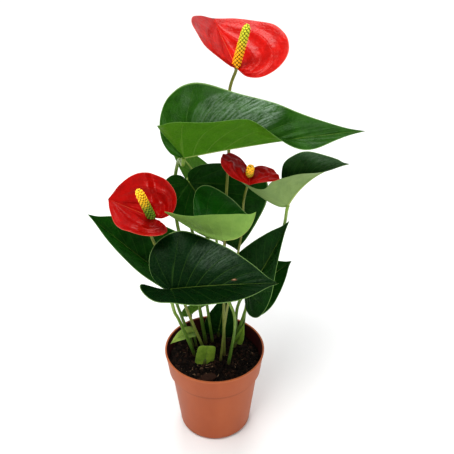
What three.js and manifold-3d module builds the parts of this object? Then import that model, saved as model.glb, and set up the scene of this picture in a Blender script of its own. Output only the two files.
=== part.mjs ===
// A potted anthurium: a thin plastic nursery pot, its peat, heart-shaped leaves on long stalks
// and three red flowers, each a stalk, a heart-shaped spathe and a knobbly spadix.
// Millimetres, +Z up. The origin is the centre of the pot's foot on the surface that it stands on,
// and the plant's front faces -Y.
import * as THREE from "three";
import { mergeVertices } from "three/addons/utils/BufferGeometryUtils.js";
import Module from "manifold-3d";

const wasm = await Module();
wasm.setup();

// ---- driving dimensions -------------------------------------------------------------------
const GAP = 0.3; // clearance between pieces that touch

const POT = {
  height: 115,
  rimRadius: 60,
  collarHeight: 30, // the wider band under the rim
  collarFootRadius: 56,
  bodyTopRadius: 54, // just under the collar's step
  footRadius: 43.5,
  edgeRound: 4, // rounding between foot and wall
  wall: 1.2,
  lipWidth: 2, // the rim is folded out by this much more than the wall
  lipHeight: 2.5,
  discRadius: 14, // flat centre of the underside, level with the foot ring
  footRingWidth: 6,
  recess: 2.5, // how far the floor between disc and foot ring stands off the surface
  sides: 40,
};
const DRAIN = { notches: 3, notchWidth: 14, notchHeight: 2.2, notchAt: -52, holes: 6, holeRadius: 4 };

const SOIL = { level: 97, bumps: 3.2, chunks: 2.2, rings: 8, sides: 32, seed: 11 };

const FAN_SHARE = 0.5; // share of a blade's outline whose triangles meet at the stalk
const BLADE = 0.8; // thickness of a leaf or a spathe
const CURL = -26; // degrees by which half a leaf flattens from its midrib to its margin
const SPATHE_RIDGE = 0.9; // height of a spathe's ridged veins
const SPATHE_RIDGES = 3; // in each half
const SPATHE_SEAT = 6; // radius round the stalk that stays flat
const SPADIX = { rings: 24, sides: 12, bump: 0.07 };
const STALK_SIDES = 6;
const ROOT_DEPTH = 16; // how far a stalk stands in the soil

const COLOUR = {
  pot: 0xb0623f,
  soil: 0x2b1d15,
  leaf: 0x1d4a1a,
  leafLight: 0x5f8f3a,
  stalk: 0x7c9636,
  spathe: 0xc81e1a,
  spadix: 0xc9b52c,
};

// Half outline of a blade, from the bottom of the notch at the stalk, round the lobe, to the tip.
// along: 1 is the tip and -1 the back of the lobe. across: 1 is the widest half width.
const LEAF_OUTLINE = [
  [-0.1, 0], [-0.62, 0.1], [-0.96, 0.34], [-0.9, 0.66], [-0.42, 0.92], [0.08, 1],
  [0.3, 0.9], [0.54, 0.66], [0.76, 0.36], [0.9, 0.12], [1, 0],
];
const SPATHE_OUTLINE = [
  [-0.1, 0], [-0.66, 0.1], [-0.98, 0.34], [-0.88, 0.66], [-0.4, 0.92], [0.14, 1],
  [0.42, 0.93], [0.68, 0.7], [0.86, 0.4], [0.95, 0.14], [1, 0],
];

// Leaves. base: where the stalk meets the blade. tip: the blade's point. face: where the upper
// side looks. Pairs are for the left and the right half of a blade seen from its stalk.
// width: of each half. slim: how much narrower it gets toward the tip. skew: how far the half is
// drawn forward. lobe: how far it reaches back past the stalk. notch: 1 narrows the lobe's root.
// fold: rise of each half from the midrib in degrees, and foldTip the same at the tip; foldAt: the
// shares of the length between which one goes over into the other. lift: rise of the lobe's back.
// arch: height of the midrib over its chord. wave: [height, waves, phase] at the margin.
// radius: of the stalk. foot: where it leaves the soil. via: points that it passes on its way up.
// stem: how much it meets the blade from [underneath, behind].
const LEAVES = {
  leaf_top: {
    base: [-29, -12, 382], tip: [149, -30, 421], face: [0, 0, 1], width: [74, 66], slim: [0.4, 0.4],
    lobe: [22, 15], notch: [0, 1], lift: [0, 14], fold: [50, 55], foldTip: [30, -28], foldAt: [0.4, 0.78],
    arch: 3, wave: [3, 2, 0], radius: 2.1, foot: [-10, 26],
    via: [[-26, 30, 205], [-42, 44, 262], [-45, 57, 306], [-38, 40, 350]],
  },
  leaf_right_upper: {
    base: [80, -5, 321], tip: [142, 0, 368], face: [-0.6, 0.1, 0.8], width: [38, 50], skew: [0.7, 0], lobe: [6, 22],
    fold: [60, 56], foldTip: [5, 10], arch: 10, lift: [0, 44], wave: [2, 2, 0],
    radius: 1.9, foot: [27, 31], via: [[29, 22, 165], [49, 22, 200], [66, 23, 228], [78, 18, 276]], stem: [0.45, 0.5],
  },
  leaf_back: {
    base: [-27, 44, 320], tip: [29, 32, 234], face: [-0.1, -0.9, 0.5], width: [74, 38], slim: [0.4, 0.4], skew: [0.5, 0], lobe: [24, 20],
    fold: [6, 20], foldTip: [5, 10], arch: 4, wave: [2, 2, 0],
    radius: 1.9, foot: [-2, 28], via: [[-8, 24, 150], [-18, 38, 223], [-30, 49, 278]],
  },
  leaf_centre: {
    base: [-6, -20, 290], tip: [45, -28, 327], face: [0.4, 0, 1], width: [66, 60], slim: [0.75, 0], skew: [0.2, 0], lobe: [8, 10],
    fold: [58, 55], foldTip: [10, 60], arch: -9, wave: [1, 2, 0],
    radius: 1.8, foot: [15, -14],
    via: [[24, -14, 172], [16, -10, 198], [1, -8, 252]],
  },
  leaf_front: {
    base: [-43, -62, 252], tip: [69, -64, 261], face: [0, -0.31, 0.95], width: [60, 60], lobe: [23, 27],
    fold: [32, 42], foldTip: [10, 10], arch: 3, lift: [4, 20], wave: [2, 2, 0],
    radius: 2, foot: [-21, 5], via: [[-40, -18, 172], [-43, -50, 214]],
  },
  leaf_left: {
    base: [-58, 18, 211], tip: [-137, 8, 301], face: [0.45, -0.6, 0.6], width: [52, 52], lobe: [8, 12],
    fold: [56, 4], foldTip: [35, 0], arch: -4, wave: [2, 2, 0],
    radius: 1.9, foot: [-24, 18], via: [[-42, 24, 150], [-54, 26, 190]],
  },
  leaf_right: {
    base: [41, 8, 195], tip: [83, 4, 295], face: [-0.4, -0.8, 0.5], width: [38, 38], lobe: [16, 16],
    fold: [10, 30], foldTip: [5, 46], arch: -4, wave: [1, 2, 0],
    radius: 1.9, foot: [20, 24], via: [[33, 20, 140], [39, 14, 170]],
  },
  leaf_right_low: {
    base: [40, 33, 173], tip: [91, 36, 218], face: [-0.4, -0.8, 0.5], width: [33, 33], lobe: [9, 9],
    fold: [10, 10], foldTip: [5, 5], arch: -4, wave: [1, 2, 0],
    radius: 1.7, foot: [33, 38], via: [[37, 40, 134]], grid: "small",
  },
  leaf_low: {
    base: [5, 36, 113], tip: [14, 30, 174], face: [0, -1, 0.3], width: [20, 20], lobe: [8, 8],
    fold: [10, 15], foldTip: [5, 5], arch: -2, wave: [1, 2, 0],
    radius: 1.5, foot: [5, 36], via: [], stem: [0.1, 1], grid: "small",
  },
  leaf_low_left: {
    base: [-30, 40, 134], tip: [6, 46, 149], face: [0, 0.7, 0.7], width: [26, 26], lobe: [10, 10],
    fold: [10, 10], foldTip: [5, 5], arch: 3, wave: [1, 2, 0],
    radius: 1.5, foot: [-22, 37], via: [], grid: "small",
  },
  leaf_young_left: {
    base: [-28, 16, 124], tip: [-54, 2, 118], face: [0, -0.5, 0.9], width: [9, 9], lobe: [6, 6],
    fold: [30, 30], foldTip: [5, 5], arch: 7, wave: [0, 1, 0],
    radius: 1.4, foot: [-21, 17], via: [], grid: "small", colour: "leafLight",
  },
  leaf_young_front: {
    base: [-11, -12, 107], tip: [-5, -9, 127], face: [0.2, -1, 0.3], width: [11, 11], lobe: [3, 3],
    fold: [-15, -15], foldTip: [-15, -15], arch: 3, wave: [0, 1, 0],
    radius: 1.6, foot: [-10, -12], via: [], stem: [0, 1], grid: "small", colour: "leafLight",
  },
  leaf_young_right: {
    base: [27, 19, 107], tip: [36, 20, 136], face: [0.2, -1, 0.3], width: [7, 7], lobe: [3, 3],
    fold: [25, 25], foldTip: [15, 15], arch: 2, wave: [0, 1, 0],
    radius: 1.5, foot: [27, 18], via: [], stem: [0, 1], grid: "small", colour: "leafLight",
  },
  leaf_behind: {
    base: [-9, 86, 290], tip: [-53, 69, 365], face: [-0.5, 0.3, 0.6], width: [20, 16], lobe: [12, 12],
    fold: [20, 20], foldTip: [5, 5], arch: -4, wave: [1, 2, 0],
    radius: 1.7, foot: [14, 45], via: [[4, 64, 210]],
  },
};

// Flowers. The spathe is given as a leaf is, and the spadix by the place of its tip.
const FLOWERS = {
  flower_top: {
    base: [24, 44, 457], tip: [0, 110, 485], face: [-0.1, -0.3, 0.95], width: [60, 60], lobe: [8, 28],
    fold: [56, 14], foldTip: [50, 0], arch: 0, wave: [1, 2, 0],
    radius: 1.8, foot: [11, 1], via: [[12, 18, 246], [14, 28, 308], [17, 36, 366], [18, 46, 432]],
    spadix: [35, 28, 507], spadixRadius: 4.4,
  },
  flower_left: {
    base: [-65, -12, 310], tip: [-114, 12, 318], face: [0, -0.8, 0.55], width: [46, 46], lobe: [14, 14],
    fold: [58, 14], foldTip: [30, 10], arch: 0, wave: [1, 2, 0],
    radius: 1.7, foot: [-8, 8], via: [[-36, -12, 200], [-42, -14, 225], [-52, -14, 250], [-67, -12, 288]],
    spadix: [-80, -34, 358], spadixRadius: 4.6,
  },
  flower_right: {
    base: [38, -10, 360], tip: [39, 24, 347], face: [0, -0.1, 1], width: [36, 30], lobe: [14, 12],
    fold: [2, -6], foldTip: [34, 16], foldAt: [-0.3, 0.5], lift: [-11, -4], arch: 0, wave: [1, 2, 0],
    radius: 1.4, foot: [6, -7], via: [[14, -6, 170], [25, 0, 240], [32, 6, 285], [33, 8, 318]],
    spadix: [39, -23, 378], spadixRadius: 4,
  },
};

const GRIDS = {
  large: { fan: 6, ladder: 8, columns: 3 },
  small: { fan: 4, ladder: 6, columns: 2 },
  spathe: { fan: 7, ladder: 7, columns: 6 },
};

// ---- shapes ---------------------------------------------------------------------------------
const vec = (p) => new THREE.Vector3(...p);
const radians = THREE.MathUtils.degToRad;
const smooth = (x) => THREE.MathUtils.smoothstep(x, 0, 1);

// A closed geometry as a manifold solid, and a solid as a geometry.
function solid(geometry) {
  const g = geometry.clone();
  g.deleteAttribute("normal");
  g.deleteAttribute("uv");
  const merged = mergeVertices(g, 1e-4);
  return new wasm.Manifold(new wasm.Mesh({
    numProp: 3,
    vertProperties: merged.attributes.position.array,
    triVerts: new Uint32Array(merged.index.array),
  }));
}

function geometryOf(body) {
  const m = body.getMesh();
  const positions = new Float32Array(m.numVert * 3);
  for (let i = 0; i < m.numVert; i++)
    positions.set(m.vertProperties.subarray(i * m.numProp, i * m.numProp + 3), i * 3);
  const g = new THREE.BufferGeometry();
  g.setAttribute("position", new THREE.BufferAttribute(positions, 3));
  g.setIndex(new THREE.BufferAttribute(m.triVerts, 1));
  return g;
}

// A round stalk along a curve, solid from end to end.
function stalk(curve, radius, steps) {
  const section = new THREE.Shape();
  for (let i = 0; i < STALK_SIDES; i++) {
    const a = (2 * Math.PI * i) / STALK_SIDES;
    const [x, y] = [radius * Math.cos(a), radius * Math.sin(a)];
    if (i) section.lineTo(x, y);
    else section.moveTo(x, y);
  }
  section.closePath();
  return new THREE.ExtrudeGeometry(section, { steps, extrudePath: curve, bevelEnabled: false });
}

// The flat layout of a blade: points as [along, across] in mm and the triangles between them.
// The notch and the lobes are a fan round the stalk, the rest a ladder along the midrib.
function bladeLayout(outline, length, spec, { fan, ladder, columns }) {
  const { width, lobe, slim = [0, 0], notch = [0, 0], skew = [0, 0] } = spec;
  const rows = fan + ladder;
  const points = [];
  const ids = new Map();
  const id = (x, y, share) => {
    const key = x.toFixed(3) + "," + y.toFixed(3);
    if (!ids.has(key)) ids.set(key, points.push([x, y, share]) - 1);
    return ids.get(key);
  };
  const triangles = [];
  for (const [half, side] of [1, -1].entries()) {
    const curve = new THREE.CatmullRomCurve3(
      outline.map(([x, y]) => new THREE.Vector3(
        (x < 0 ? x * lobe[half] * y ** notch[half] : x * length) + skew[half] * y * width[half],
        y * width[half] * (1 - slim[half] * smooth(x)), 0)),
      false, "catmullrom", 0.5,
    );
    const notchX = outline[0][0] * Math.min(...lobe);
    const grid = [];
    for (let r = 0; r <= rows; r++) {
      const edge = curve.getPoint(r / rows);
      if (r === 0) edge.set(notchX, 0, 0);
      const share = Math.max(0, (r / rows - FAN_SHARE) / (1 - FAN_SHARE));
      const root = length * (0.35 * share + 0.65 * share ** 2);
      const line = [];
      for (let c = 0; c <= columns; c++) {
        const t = c / columns;
        line.push(id(root + (edge.x - root) * t, side * Math.max(0, edge.y) * t || 0, t));
      }
      grid.push(line);
    }
    for (let r = 0; r < rows; r++)
      for (let c = 0; c < columns; c++) {
        const quad = [grid[r][c], grid[r + 1][c], grid[r + 1][c + 1], grid[r][c + 1]];
        if (side < 0) quad.reverse();
        for (const tri of [[quad[0], quad[1], quad[2]], [quad[0], quad[2], quad[3]]])
          if (new Set(tri).size === 3) triangles.push(tri);
      }
  }
  return { points, triangles };
}

// Places a blade's layout in space: folded along its midrib, arched and waved.
function bladeSurface(spec) {
  const base = vec(spec.base);
  const chord = vec(spec.tip).sub(base);
  const length = chord.length();
  const ahead = chord.clone().normalize();
  const up = vec(spec.face);
  up.addScaledVector(ahead, -up.dot(ahead)).normalize();
  const left = new THREE.Vector3().crossVectors(up, ahead);
  const [waveHeight, waves, phase] = spec.wave;
  const lift = spec.lift || [0, 0];
  const curl = spec.spadix ? 0 : CURL;
  const at = (x, y) => {
    const t = x / length;
    const half = y > 0 ? 0 : 1;
    const out = Math.abs(y) / spec.width[half];
    const [from, to] = spec.foldAt || [0, 1];
    const tip = smooth((t - from) / (to - from));
    const rise = spec.fold[half] * (1 - tip) + spec.foldTip[half] * tip;
    const angle = radians(rise + 0.5 * curl * (out - 1));
    const bow = t > 0 ? 4 * t * (1 - t) : 4 * t;
    const back = t < 0 ? lift[half] * (x / spec.lobe[half]) ** 2 : 0;
    const ripple = waveHeight * out ** 2 * Math.sin(2 * Math.PI * (waves * t + phase + 0.25 * half));
    const height = Math.abs(y) * Math.sin(angle) + ripple + back;
    return base.clone()
      .addScaledVector(ahead, x)
      .addScaledVector(left, y * Math.cos(angle))
      .addScaledVector(up, spec.arch * bow + height);
  };
  return { at, length, ahead, up };
}

// A blade as a closed body: the same triangles above and below, joined round the margin.
function blade(outline, spec, grid, relief) {
  const surface = bladeSurface(spec);
  const layout = bladeLayout(outline, surface.length, spec, grid);
  const middle = layout.points.map(([x, y]) => surface.at(x, y));
  const normals = middle.map(() => new THREE.Vector3());
  for (const [a, b, c] of layout.triangles) {
    const n = new THREE.Vector3().crossVectors(
      middle[b].clone().sub(middle[a]), middle[c].clone().sub(middle[a]));
    for (const i of [a, b, c]) normals[i].add(n);
  }
  normals.forEach((n) => n.normalize());
  const raised = middle.map((p, i) => {
    return p.clone().addScaledVector(normals[i], relief ? relief(layout.points[i], surface.length) : 0);
  });
  const count = raised.length;
  const positions = [];
  for (const sign of [1, -1])
    raised.forEach((p, i) => {
      const q = p.clone().addScaledVector(normals[i], (sign * BLADE) / 2);
      positions.push(q.x, q.y, q.z);
    });
  const index = [];
  const edges = new Map();
  for (const [a, b, c] of layout.triangles) {
    index.push(a, b, c, count + c, count + b, count + a);
    for (const [p, q] of [[a, b], [b, c], [c, a]]) {
      if (edges.has(q + "," + p)) edges.delete(q + "," + p);
      else edges.set(p + "," + q, [p, q]);
    }
  }
  for (const [p, q] of edges.values()) index.push(q, p, count + p, q, count + p, count + q);
  const g = new THREE.BufferGeometry();
  g.setAttribute("position", new THREE.Float32BufferAttribute(positions, 3));
  g.setIndex(index);
  return { geometry: g, surface };
}

// The way of a stalk, from depth below the soil's top, through the points that it passes, to its end.
function stalkCurve(spec, depth, ends) {
  const [x, y] = spec.foot;
  const below = new THREE.Vector3(x, y, SOIL.level - depth);
  return new THREE.CatmullRomCurve3([below, ...spec.via.map(vec), ...ends], false, "centripetal");
}

// A spadix: a blunt rod from its foot to its tip, its flowers as bumps set in staggered rows.
function spadix(foot, tip, radius) {
  const axis = tip.clone().sub(foot);
  const along = axis.clone().normalize();
  const across = new THREE.Vector3(1, 0, 0).addScaledVector(along, -along.x).normalize();
  const beside = new THREE.Vector3().crossVectors(along, across);
  const { rings, sides, bump } = SPADIX;
  const positions = [...foot.toArray()];
  for (let r = 1; r < rings; r++) {
    const t = r / rings;
    const taper = 1 - 0.18 * t;
    const nose = t > 0.84 ? Math.sqrt(1 - ((t - 0.84) / 0.17) ** 2) : 1;
    const root = Math.min(1, 0.15 + 3 * t);
    for (let i = 0; i < sides; i++) {
      const a = (2 * Math.PI * i) / sides;
      const size = radius * taper * nose * root * (1 + ((r + i) % 2 ? bump : -bump));
      const p = foot.clone().addScaledVector(axis, t)
        .addScaledVector(across, size * Math.cos(a)).addScaledVector(beside, size * Math.sin(a));
      positions.push(...p.toArray());
    }
  }
  positions.push(...tip.toArray());
  const last = positions.length / 3 - 1;
  const index = [];
  for (let i = 0; i < sides; i++) {
    const j = (i + 1) % sides;
    index.push(0, 1 + j, 1 + i);
    for (let r = 0; r < rings - 2; r++) {
      const [a, b] = [1 + r * sides + i, 1 + r * sides + j];
      const [c, d] = [a + sides, b + sides];
      if ((r + i) % 2) index.push(a, b, c, b, d, c);
      else index.push(a, b, d, a, d, c);
    }
    index.push(last, last - sides + i, last - sides + j);
  }
  const g = new THREE.BufferGeometry();
  g.setAttribute("position", new THREE.Float32BufferAttribute(positions, 3));
  g.setIndex(index);
  return g;
}

// The ridged veins of a spathe: they start clear of the spadix's seat and fade at the margin.
const veins = ([x, y, share], length) =>
  SPATHE_RIDGE * Math.cos(2 * Math.PI * SPATHE_RIDGES * share) *
  smooth(4 * share * (1 - share)) * smooth(1.6 - Math.abs(x / length)) *
  smooth((Math.hypot(x, y) - SPATHE_SEAT) / SPATHE_SEAT);

// ---- the plant --------------------------------------------------------------------------------
const plant = new THREE.Group();
const holes = [];

function add(name, geometry, color, roughness = 0.5) {
  const g = geometry.index ? geometry.toNonIndexed() : geometry;
  g.computeVertexNormals();
  const mesh = new THREE.Mesh(g, new THREE.MeshStandardMaterial({ color, roughness, metalness: 0 }));
  mesh.name = name;
  plant.add(mesh);
}

// Keeps the hole that a stalk stands in: its own way, a gap wider and deeper.
function keepHole(spec, ends, steps) {
  const curve = stalkCurve(spec, ROOT_DEPTH + GAP, ends);
  holes.push(solid(stalk(curve, spec.radius + 1.3 * GAP, steps)));
}

for (const [name, spec] of Object.entries(LEAVES)) {
  const { geometry, surface } = blade(LEAF_OUTLINE, spec, GRIDS[spec.grid || "large"]);
  const [underneath, behind] = spec.stem || [0.9, 0.3];
  const end = vec(spec.base).addScaledVector(surface.up, 0.6 * underneath);
  const near = vec(spec.base)
    .addScaledVector(surface.up, -8 * underneath).addScaledVector(surface.ahead, -8 * behind);
  const steps = spec.grid ? 8 : 14;
  const body = solid(geometry).add(solid(stalk(stalkCurve(spec, ROOT_DEPTH, [near, end]), spec.radius, steps)));
  keepHole(spec, [near, end], steps);
  add(name, geometryOf(body), COLOUR[spec.colour || "leaf"]);
}

for (const [name, spec] of Object.entries(FLOWERS)) {
  const { geometry, surface } = blade(SPATHE_OUTLINE, spec, GRIDS.spathe, veins);
  const seat = BLADE / 2 + GAP;
  const end = vec(spec.base).addScaledVector(surface.up, -seat - 0.3);
  const near = vec(spec.base).addScaledVector(surface.up, -9);
  add(name + "_stalk", stalk(stalkCurve(spec, ROOT_DEPTH, [near, end]), spec.radius, 14), COLOUR.stalk);
  keepHole(spec, [near, end], 14);
  add(name + "_spathe", geometry, COLOUR.spathe, 0.3);
  const foot = vec(spec.base).addScaledVector(surface.up, seat + 0.35);
  add(name + "_spadix", spadix(foot, vec(spec.spadix), spec.spadixRadius), COLOUR.spadix, 0.6);
}

// ---- the pot ------------------------------------------------------------------------------------
const lathe = (profile, sides) =>
  new THREE.LatheGeometry(profile.map(([r, z]) => new THREE.Vector2(r, z)), sides).rotateX(Math.PI / 2);

const floorZ = POT.recess + POT.wall;
const collarZ = POT.height - POT.collarHeight;
const insideFoot = POT.footRadius - POT.wall;
const insideBody = POT.bodyTopRadius - POT.wall;
const insideCollar = POT.collarFootRadius - POT.wall;
const insideRim = POT.rimRadius - POT.lipWidth;
let pot = solid(lathe([
  [0, 0], [POT.discRadius, 0], [POT.discRadius + 1, POT.recess],
  [POT.footRadius - POT.footRingWidth - 1, POT.recess], [POT.footRadius - POT.footRingWidth, 0],
  [POT.footRadius - 0.7 * POT.edgeRound, 0], [POT.footRadius - 0.2 * POT.edgeRound, 0.3 * POT.edgeRound],
  [POT.footRadius, POT.edgeRound], [POT.bodyTopRadius, collarZ],
  [POT.collarFootRadius, collarZ + 0.8],
  [POT.rimRadius - 0.4 * POT.lipWidth, POT.height - POT.lipHeight],
  [POT.rimRadius, POT.height - 0.7 * POT.lipHeight], [POT.rimRadius, POT.height - 0.6],
  [POT.rimRadius - 0.6, POT.height], [insideRim, POT.height],
  [insideCollar, collarZ + 2], [insideBody, collarZ + 0.6],
  [insideFoot, floorZ + 3], [insideFoot - 3, floorZ],
  [POT.discRadius + 2, floorZ], [POT.discRadius, POT.wall], [0, POT.wall],
], POT.sides));
// Water drains through arched notches in the foot's edge and round holes in the raised floor.
for (let i = 0; i < DRAIN.notches; i++) {
  const notch = new THREE.CylinderGeometry(DRAIN.notchWidth / 2, DRAIN.notchWidth / 2, 12, 12)
    .rotateZ(Math.PI / 2).translate(POT.footRadius, 0, 0)
    .rotateZ(radians(DRAIN.notchAt + (360 * i) / DRAIN.notches));
  notch.scale(1, 1, DRAIN.notchHeight / (DRAIN.notchWidth / 2));
  pot = pot.subtract(solid(notch));
}
for (let i = 0; i < DRAIN.holes; i++) {
  const hole = new THREE.CylinderGeometry(DRAIN.holeRadius, DRAIN.holeRadius, 4 * POT.wall, 10)
    .rotateX(Math.PI / 2).translate((POT.discRadius + insideFoot) / 2, 0, floorZ - POT.wall / 2)
    .rotateZ((2 * Math.PI * (i + 0.5)) / DRAIN.holes);
  pot = pot.subtract(solid(hole));
}
add("pot", geometryOf(pot), COLOUR.pot, 0.55);

// ---- the peat -------------------------------------------------------------------------------------
// It fills the pot to just under the rim. Its top is a grid of rings, lumpy with chunks of bark.
function random(seed) {
  let state = seed;
  return () => {
    state = (state * 1664525 + 1013904223) % 4294967296;
    return state / 4294967296;
  };
}

function peat() {
  const { level, sides, rings, bumps, chunks, seed } = SOIL;
  const next = random(seed);
  const wallAt = (z) =>
    THREE.MathUtils.mapLinear(z, collarZ + 2, POT.height, insideCollar, insideRim) - 0.1;
  const edge = wallAt(level) - GAP;
  const outside = [
    [wallAt(level - 4) - GAP, level - 4], [wallAt(collarZ + 2.6) - GAP, collarZ + 2.6],
    [insideBody - 2.5 * GAP, collarZ + 0.2],
    [insideFoot - GAP, floorZ + 3], [insideFoot - 3 - GAP, floorZ + GAP],
    [POT.discRadius + 2 - GAP, floorZ + GAP],
  ];
  const circles = [];
  for (let r = 1; r <= rings; r++) {
    const radius = (edge * r) / rings;
    circles.push(Array.from({ length: sides }, (_, i) => {
      const a = (2 * Math.PI * i) / sides;
      const lump = r < rings ? bumps * (next() - 0.5) + (next() < 0.12 ? chunks : 0) : -1.5;
      const mound = 2.5 * (1 - (r / rings) ** 2);
      return [radius * Math.cos(a), radius * Math.sin(a), level + mound + lump];
    }));
  }
  for (const [radius, z] of outside)
    circles.push(Array.from({ length: sides }, (_, i) => {
      const a = (2 * Math.PI * i) / sides;
      return [radius * Math.cos(a), radius * Math.sin(a), z];
    }));
  const positions = [0, 0, level + 2.5, ...circles.flat(2), 0, 0, floorZ + GAP];
  const last = positions.length / 3 - 1;
  const index = [];
  const at = (r, i) => 1 + r * sides + (i % sides);
  for (let i = 0; i < sides; i++) {
    index.push(0, at(0, i), at(0, i + 1));
    for (let r = 0; r < circles.length - 1; r++)
      index.push(at(r, i), at(r + 1, i), at(r + 1, i + 1), at(r, i), at(r + 1, i + 1), at(r, i + 1));
    index.push(last, at(circles.length - 1, i + 1), at(circles.length - 1, i));
  }
  const g = new THREE.BufferGeometry();
  g.setAttribute("position", new THREE.Float32BufferAttribute(positions, 3));
  g.setIndex(index);
  return g;
}
let soil = solid(peat());
for (const hole of holes) soil = soil.subtract(hole);
add("soil", geometryOf(soil), COLOUR.soil, 0.95);

export default plant;
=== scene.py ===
# A potted anthurium: a moulded nursery pot, its peat, heart-shaped leaves on long stalks and
# three red flowers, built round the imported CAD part. Sizes are in millimetres unless a comment
# says otherwise, and MM turns them into Blender's metres. +Z is up and the front faces -Y.
import math

import bmesh
import bpy
import mathutils
import numpy as np
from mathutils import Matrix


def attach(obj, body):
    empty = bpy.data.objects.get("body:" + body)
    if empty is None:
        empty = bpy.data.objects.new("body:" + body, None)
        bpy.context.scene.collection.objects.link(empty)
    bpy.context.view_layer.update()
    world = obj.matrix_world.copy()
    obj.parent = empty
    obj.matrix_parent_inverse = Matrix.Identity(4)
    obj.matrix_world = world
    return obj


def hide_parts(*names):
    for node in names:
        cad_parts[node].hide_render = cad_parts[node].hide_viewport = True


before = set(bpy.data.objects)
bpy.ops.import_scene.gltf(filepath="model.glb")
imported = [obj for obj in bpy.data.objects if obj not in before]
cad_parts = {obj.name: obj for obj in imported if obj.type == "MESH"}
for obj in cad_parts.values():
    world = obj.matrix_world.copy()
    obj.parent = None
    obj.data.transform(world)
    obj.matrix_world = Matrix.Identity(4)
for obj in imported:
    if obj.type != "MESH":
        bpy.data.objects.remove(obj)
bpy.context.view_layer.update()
MM = 0.001

# ---- camera, floor and light ----------------------------------------------------------------
# The camera looks down on the plant as the photograph does. The floor is one wide pale sheet,
# lit by large soft panels, so that the plant stands in front of almost white.
CAMERA_AT = (0.015, -0.728, 0.771)
CAMERA_PITCH = 33.47  # degrees below the horizon
CAMERA_LENS = 63.4
FLOOR_HALF = 6.0  # metres
FLOOR_AT = -0.0003
# Each panel: where it hangs and where it aims in metres, its size in metres and its watts.
PANELS = {
    "key_panel": ((-0.5, -0.8, 2.6), (0, 0, 0.25), 1.1, 44),
    "front_panel": ((-0.8, -2.4, 1.1), (0, 0, 0.25), 2.0, 13),
    "back_panel": ((0.1, 1.5, 2.3), (0, 0, 0.3), 1.3, 24),
    "side_panel": ((1.8, -0.8, 1.0), (0, 0, 0.25), 1.1, 5),
}
scene = bpy.context.scene


def new_object(name, data):
    """An object that shows some data, linked to the scene."""
    made = bpy.data.objects.new(name, data)
    scene.collection.objects.link(made)
    return made


def set_inputs(tree, node, inputs):
    """Gives each named or numbered input a value or another node's output."""
    for name, value in inputs.items():
        if isinstance(value, bpy.types.NodeSocket):
            tree.links.new(value, node.inputs[name])
        else:
            node.inputs[name].default_value = value


def add_node(tree, kind, inputs=None, **settings):
    """Adds a shader or geometry node with its settings made and its inputs given."""
    made = tree.nodes.new(kind)
    for name, value in settings.items():
        setattr(made, name, value)
    set_inputs(tree, made, inputs or {})
    return made


def new_finish(name):
    """A material with an empty tree but for its Principled BSDF and its output."""
    made = bpy.data.materials.new(name)
    made.use_nodes = True
    tree = made.node_tree
    tree.nodes.clear()
    skin = tree.nodes.new("ShaderNodeBsdfPrincipled")
    add_node(tree, "ShaderNodeOutputMaterial", {0: skin.outputs[0]})
    return made, tree, skin


def calc(tree, how, first, second=0.0):
    """One arithmetic step."""
    return add_node(tree, "ShaderNodeMath", {0: first, 1: second}, operation=how).outputs[0]


def times(tree, made, *factors):
    """The product of values."""
    for factor in factors:
        made = calc(tree, "MULTIPLY", made, factor)
    return made


def plus(tree, made, *terms):
    """The sum of values."""
    for term in terms:
        made = calc(tree, "ADD", made, term)
    return made


def remap(tree, value, low, high, to_low=0.0, to_high=1.0):
    """A value's range from low to high as a smooth step between two others."""
    return add_node(tree, "ShaderNodeMapRange", {0: value, 1: low, 2: high, 3: to_low, 4: to_high},
                    interpolation_type="SMOOTHSTEP").outputs[0]


def mix_colours(tree, share, first, second, how="MIX"):
    """The colour at a share of the way from one colour to another."""
    pair = [c if isinstance(c, bpy.types.NodeSocket) else (*c, 1) for c in (first, second)]
    return add_node(tree, "ShaderNodeMix", {0: share, 6: pair[0], 7: pair[1]},
                    data_type="RGBA", blend_type=how).outputs[2]


def own_place(tree):
    """Places on the plant, in metres from its origin."""
    return add_node(tree, "ShaderNodeTexCoord").outputs["Object"]


def noise(tree, at, scale, detail, roughness=0.5):
    """A cloudy value round 0.5."""
    return add_node(tree, "ShaderNodeTexNoise", {
        "Vector": at, "Scale": scale, "Detail": detail, "Roughness": roughness}).outputs[0]


camera = new_object("camera", bpy.data.cameras.new("camera"))
camera.location = CAMERA_AT
camera.rotation_euler = (math.radians(90 - CAMERA_PITCH), 0, 0)
camera.data.lens = CAMERA_LENS
camera.data.clip_start = 0.01
scene.camera = camera
scene.view_settings.view_transform = "Standard"
scene.view_settings.look = "Medium High Contrast"

floor_finish, tree, skin = new_finish("pale_floor")
place = own_place(tree)
tint = mix_colours(tree, noise(tree, place, 3.0, 4.0), (0.86, 0.86, 0.85), (0.9, 0.9, 0.895))
from_plant = add_node(tree, "ShaderNodeVectorMath", {0: place}, operation="LENGTH").outputs["Value"]
far = remap(tree, from_plant, 0.9, 2.2)  # the sheet runs out into the bright end of the room
set_inputs(tree, skin, {
    "Base Color": mix_colours(tree, far, tint, (0, 0, 0)),
    "Emission Color": mix_colours(tree, far, (0, 0, 0), (0.93, 0.95, 0.97)),
    "Emission Strength": 1.0, "Roughness": 0.8,
})
floor_mesh = bpy.data.meshes.new("floor")
floor_mesh.from_pydata(
    [(x * FLOOR_HALF, y * FLOOR_HALF, FLOOR_AT) for x, y in ((-1, -1), (1, -1), (1, 1), (-1, 1))],
    [], [(0, 1, 2, 3)],
)
floor_mesh.materials.append(floor_finish)
new_object("floor", floor_mesh)

# The room is dimmer than it looks, so that the panels do most of the lighting.
world = bpy.data.worlds.new("studio")
world.use_nodes = True
air = world.node_tree
seen = add_node(air, "ShaderNodeLightPath").outputs["Is Camera Ray"]
set_inputs(air, air.nodes["Background"],
           {0: (0.96, 0.98, 1, 1), 1: remap(air, seen, 0.0, 1.0, 0.4, 0.95)})
scene.world = world

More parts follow.
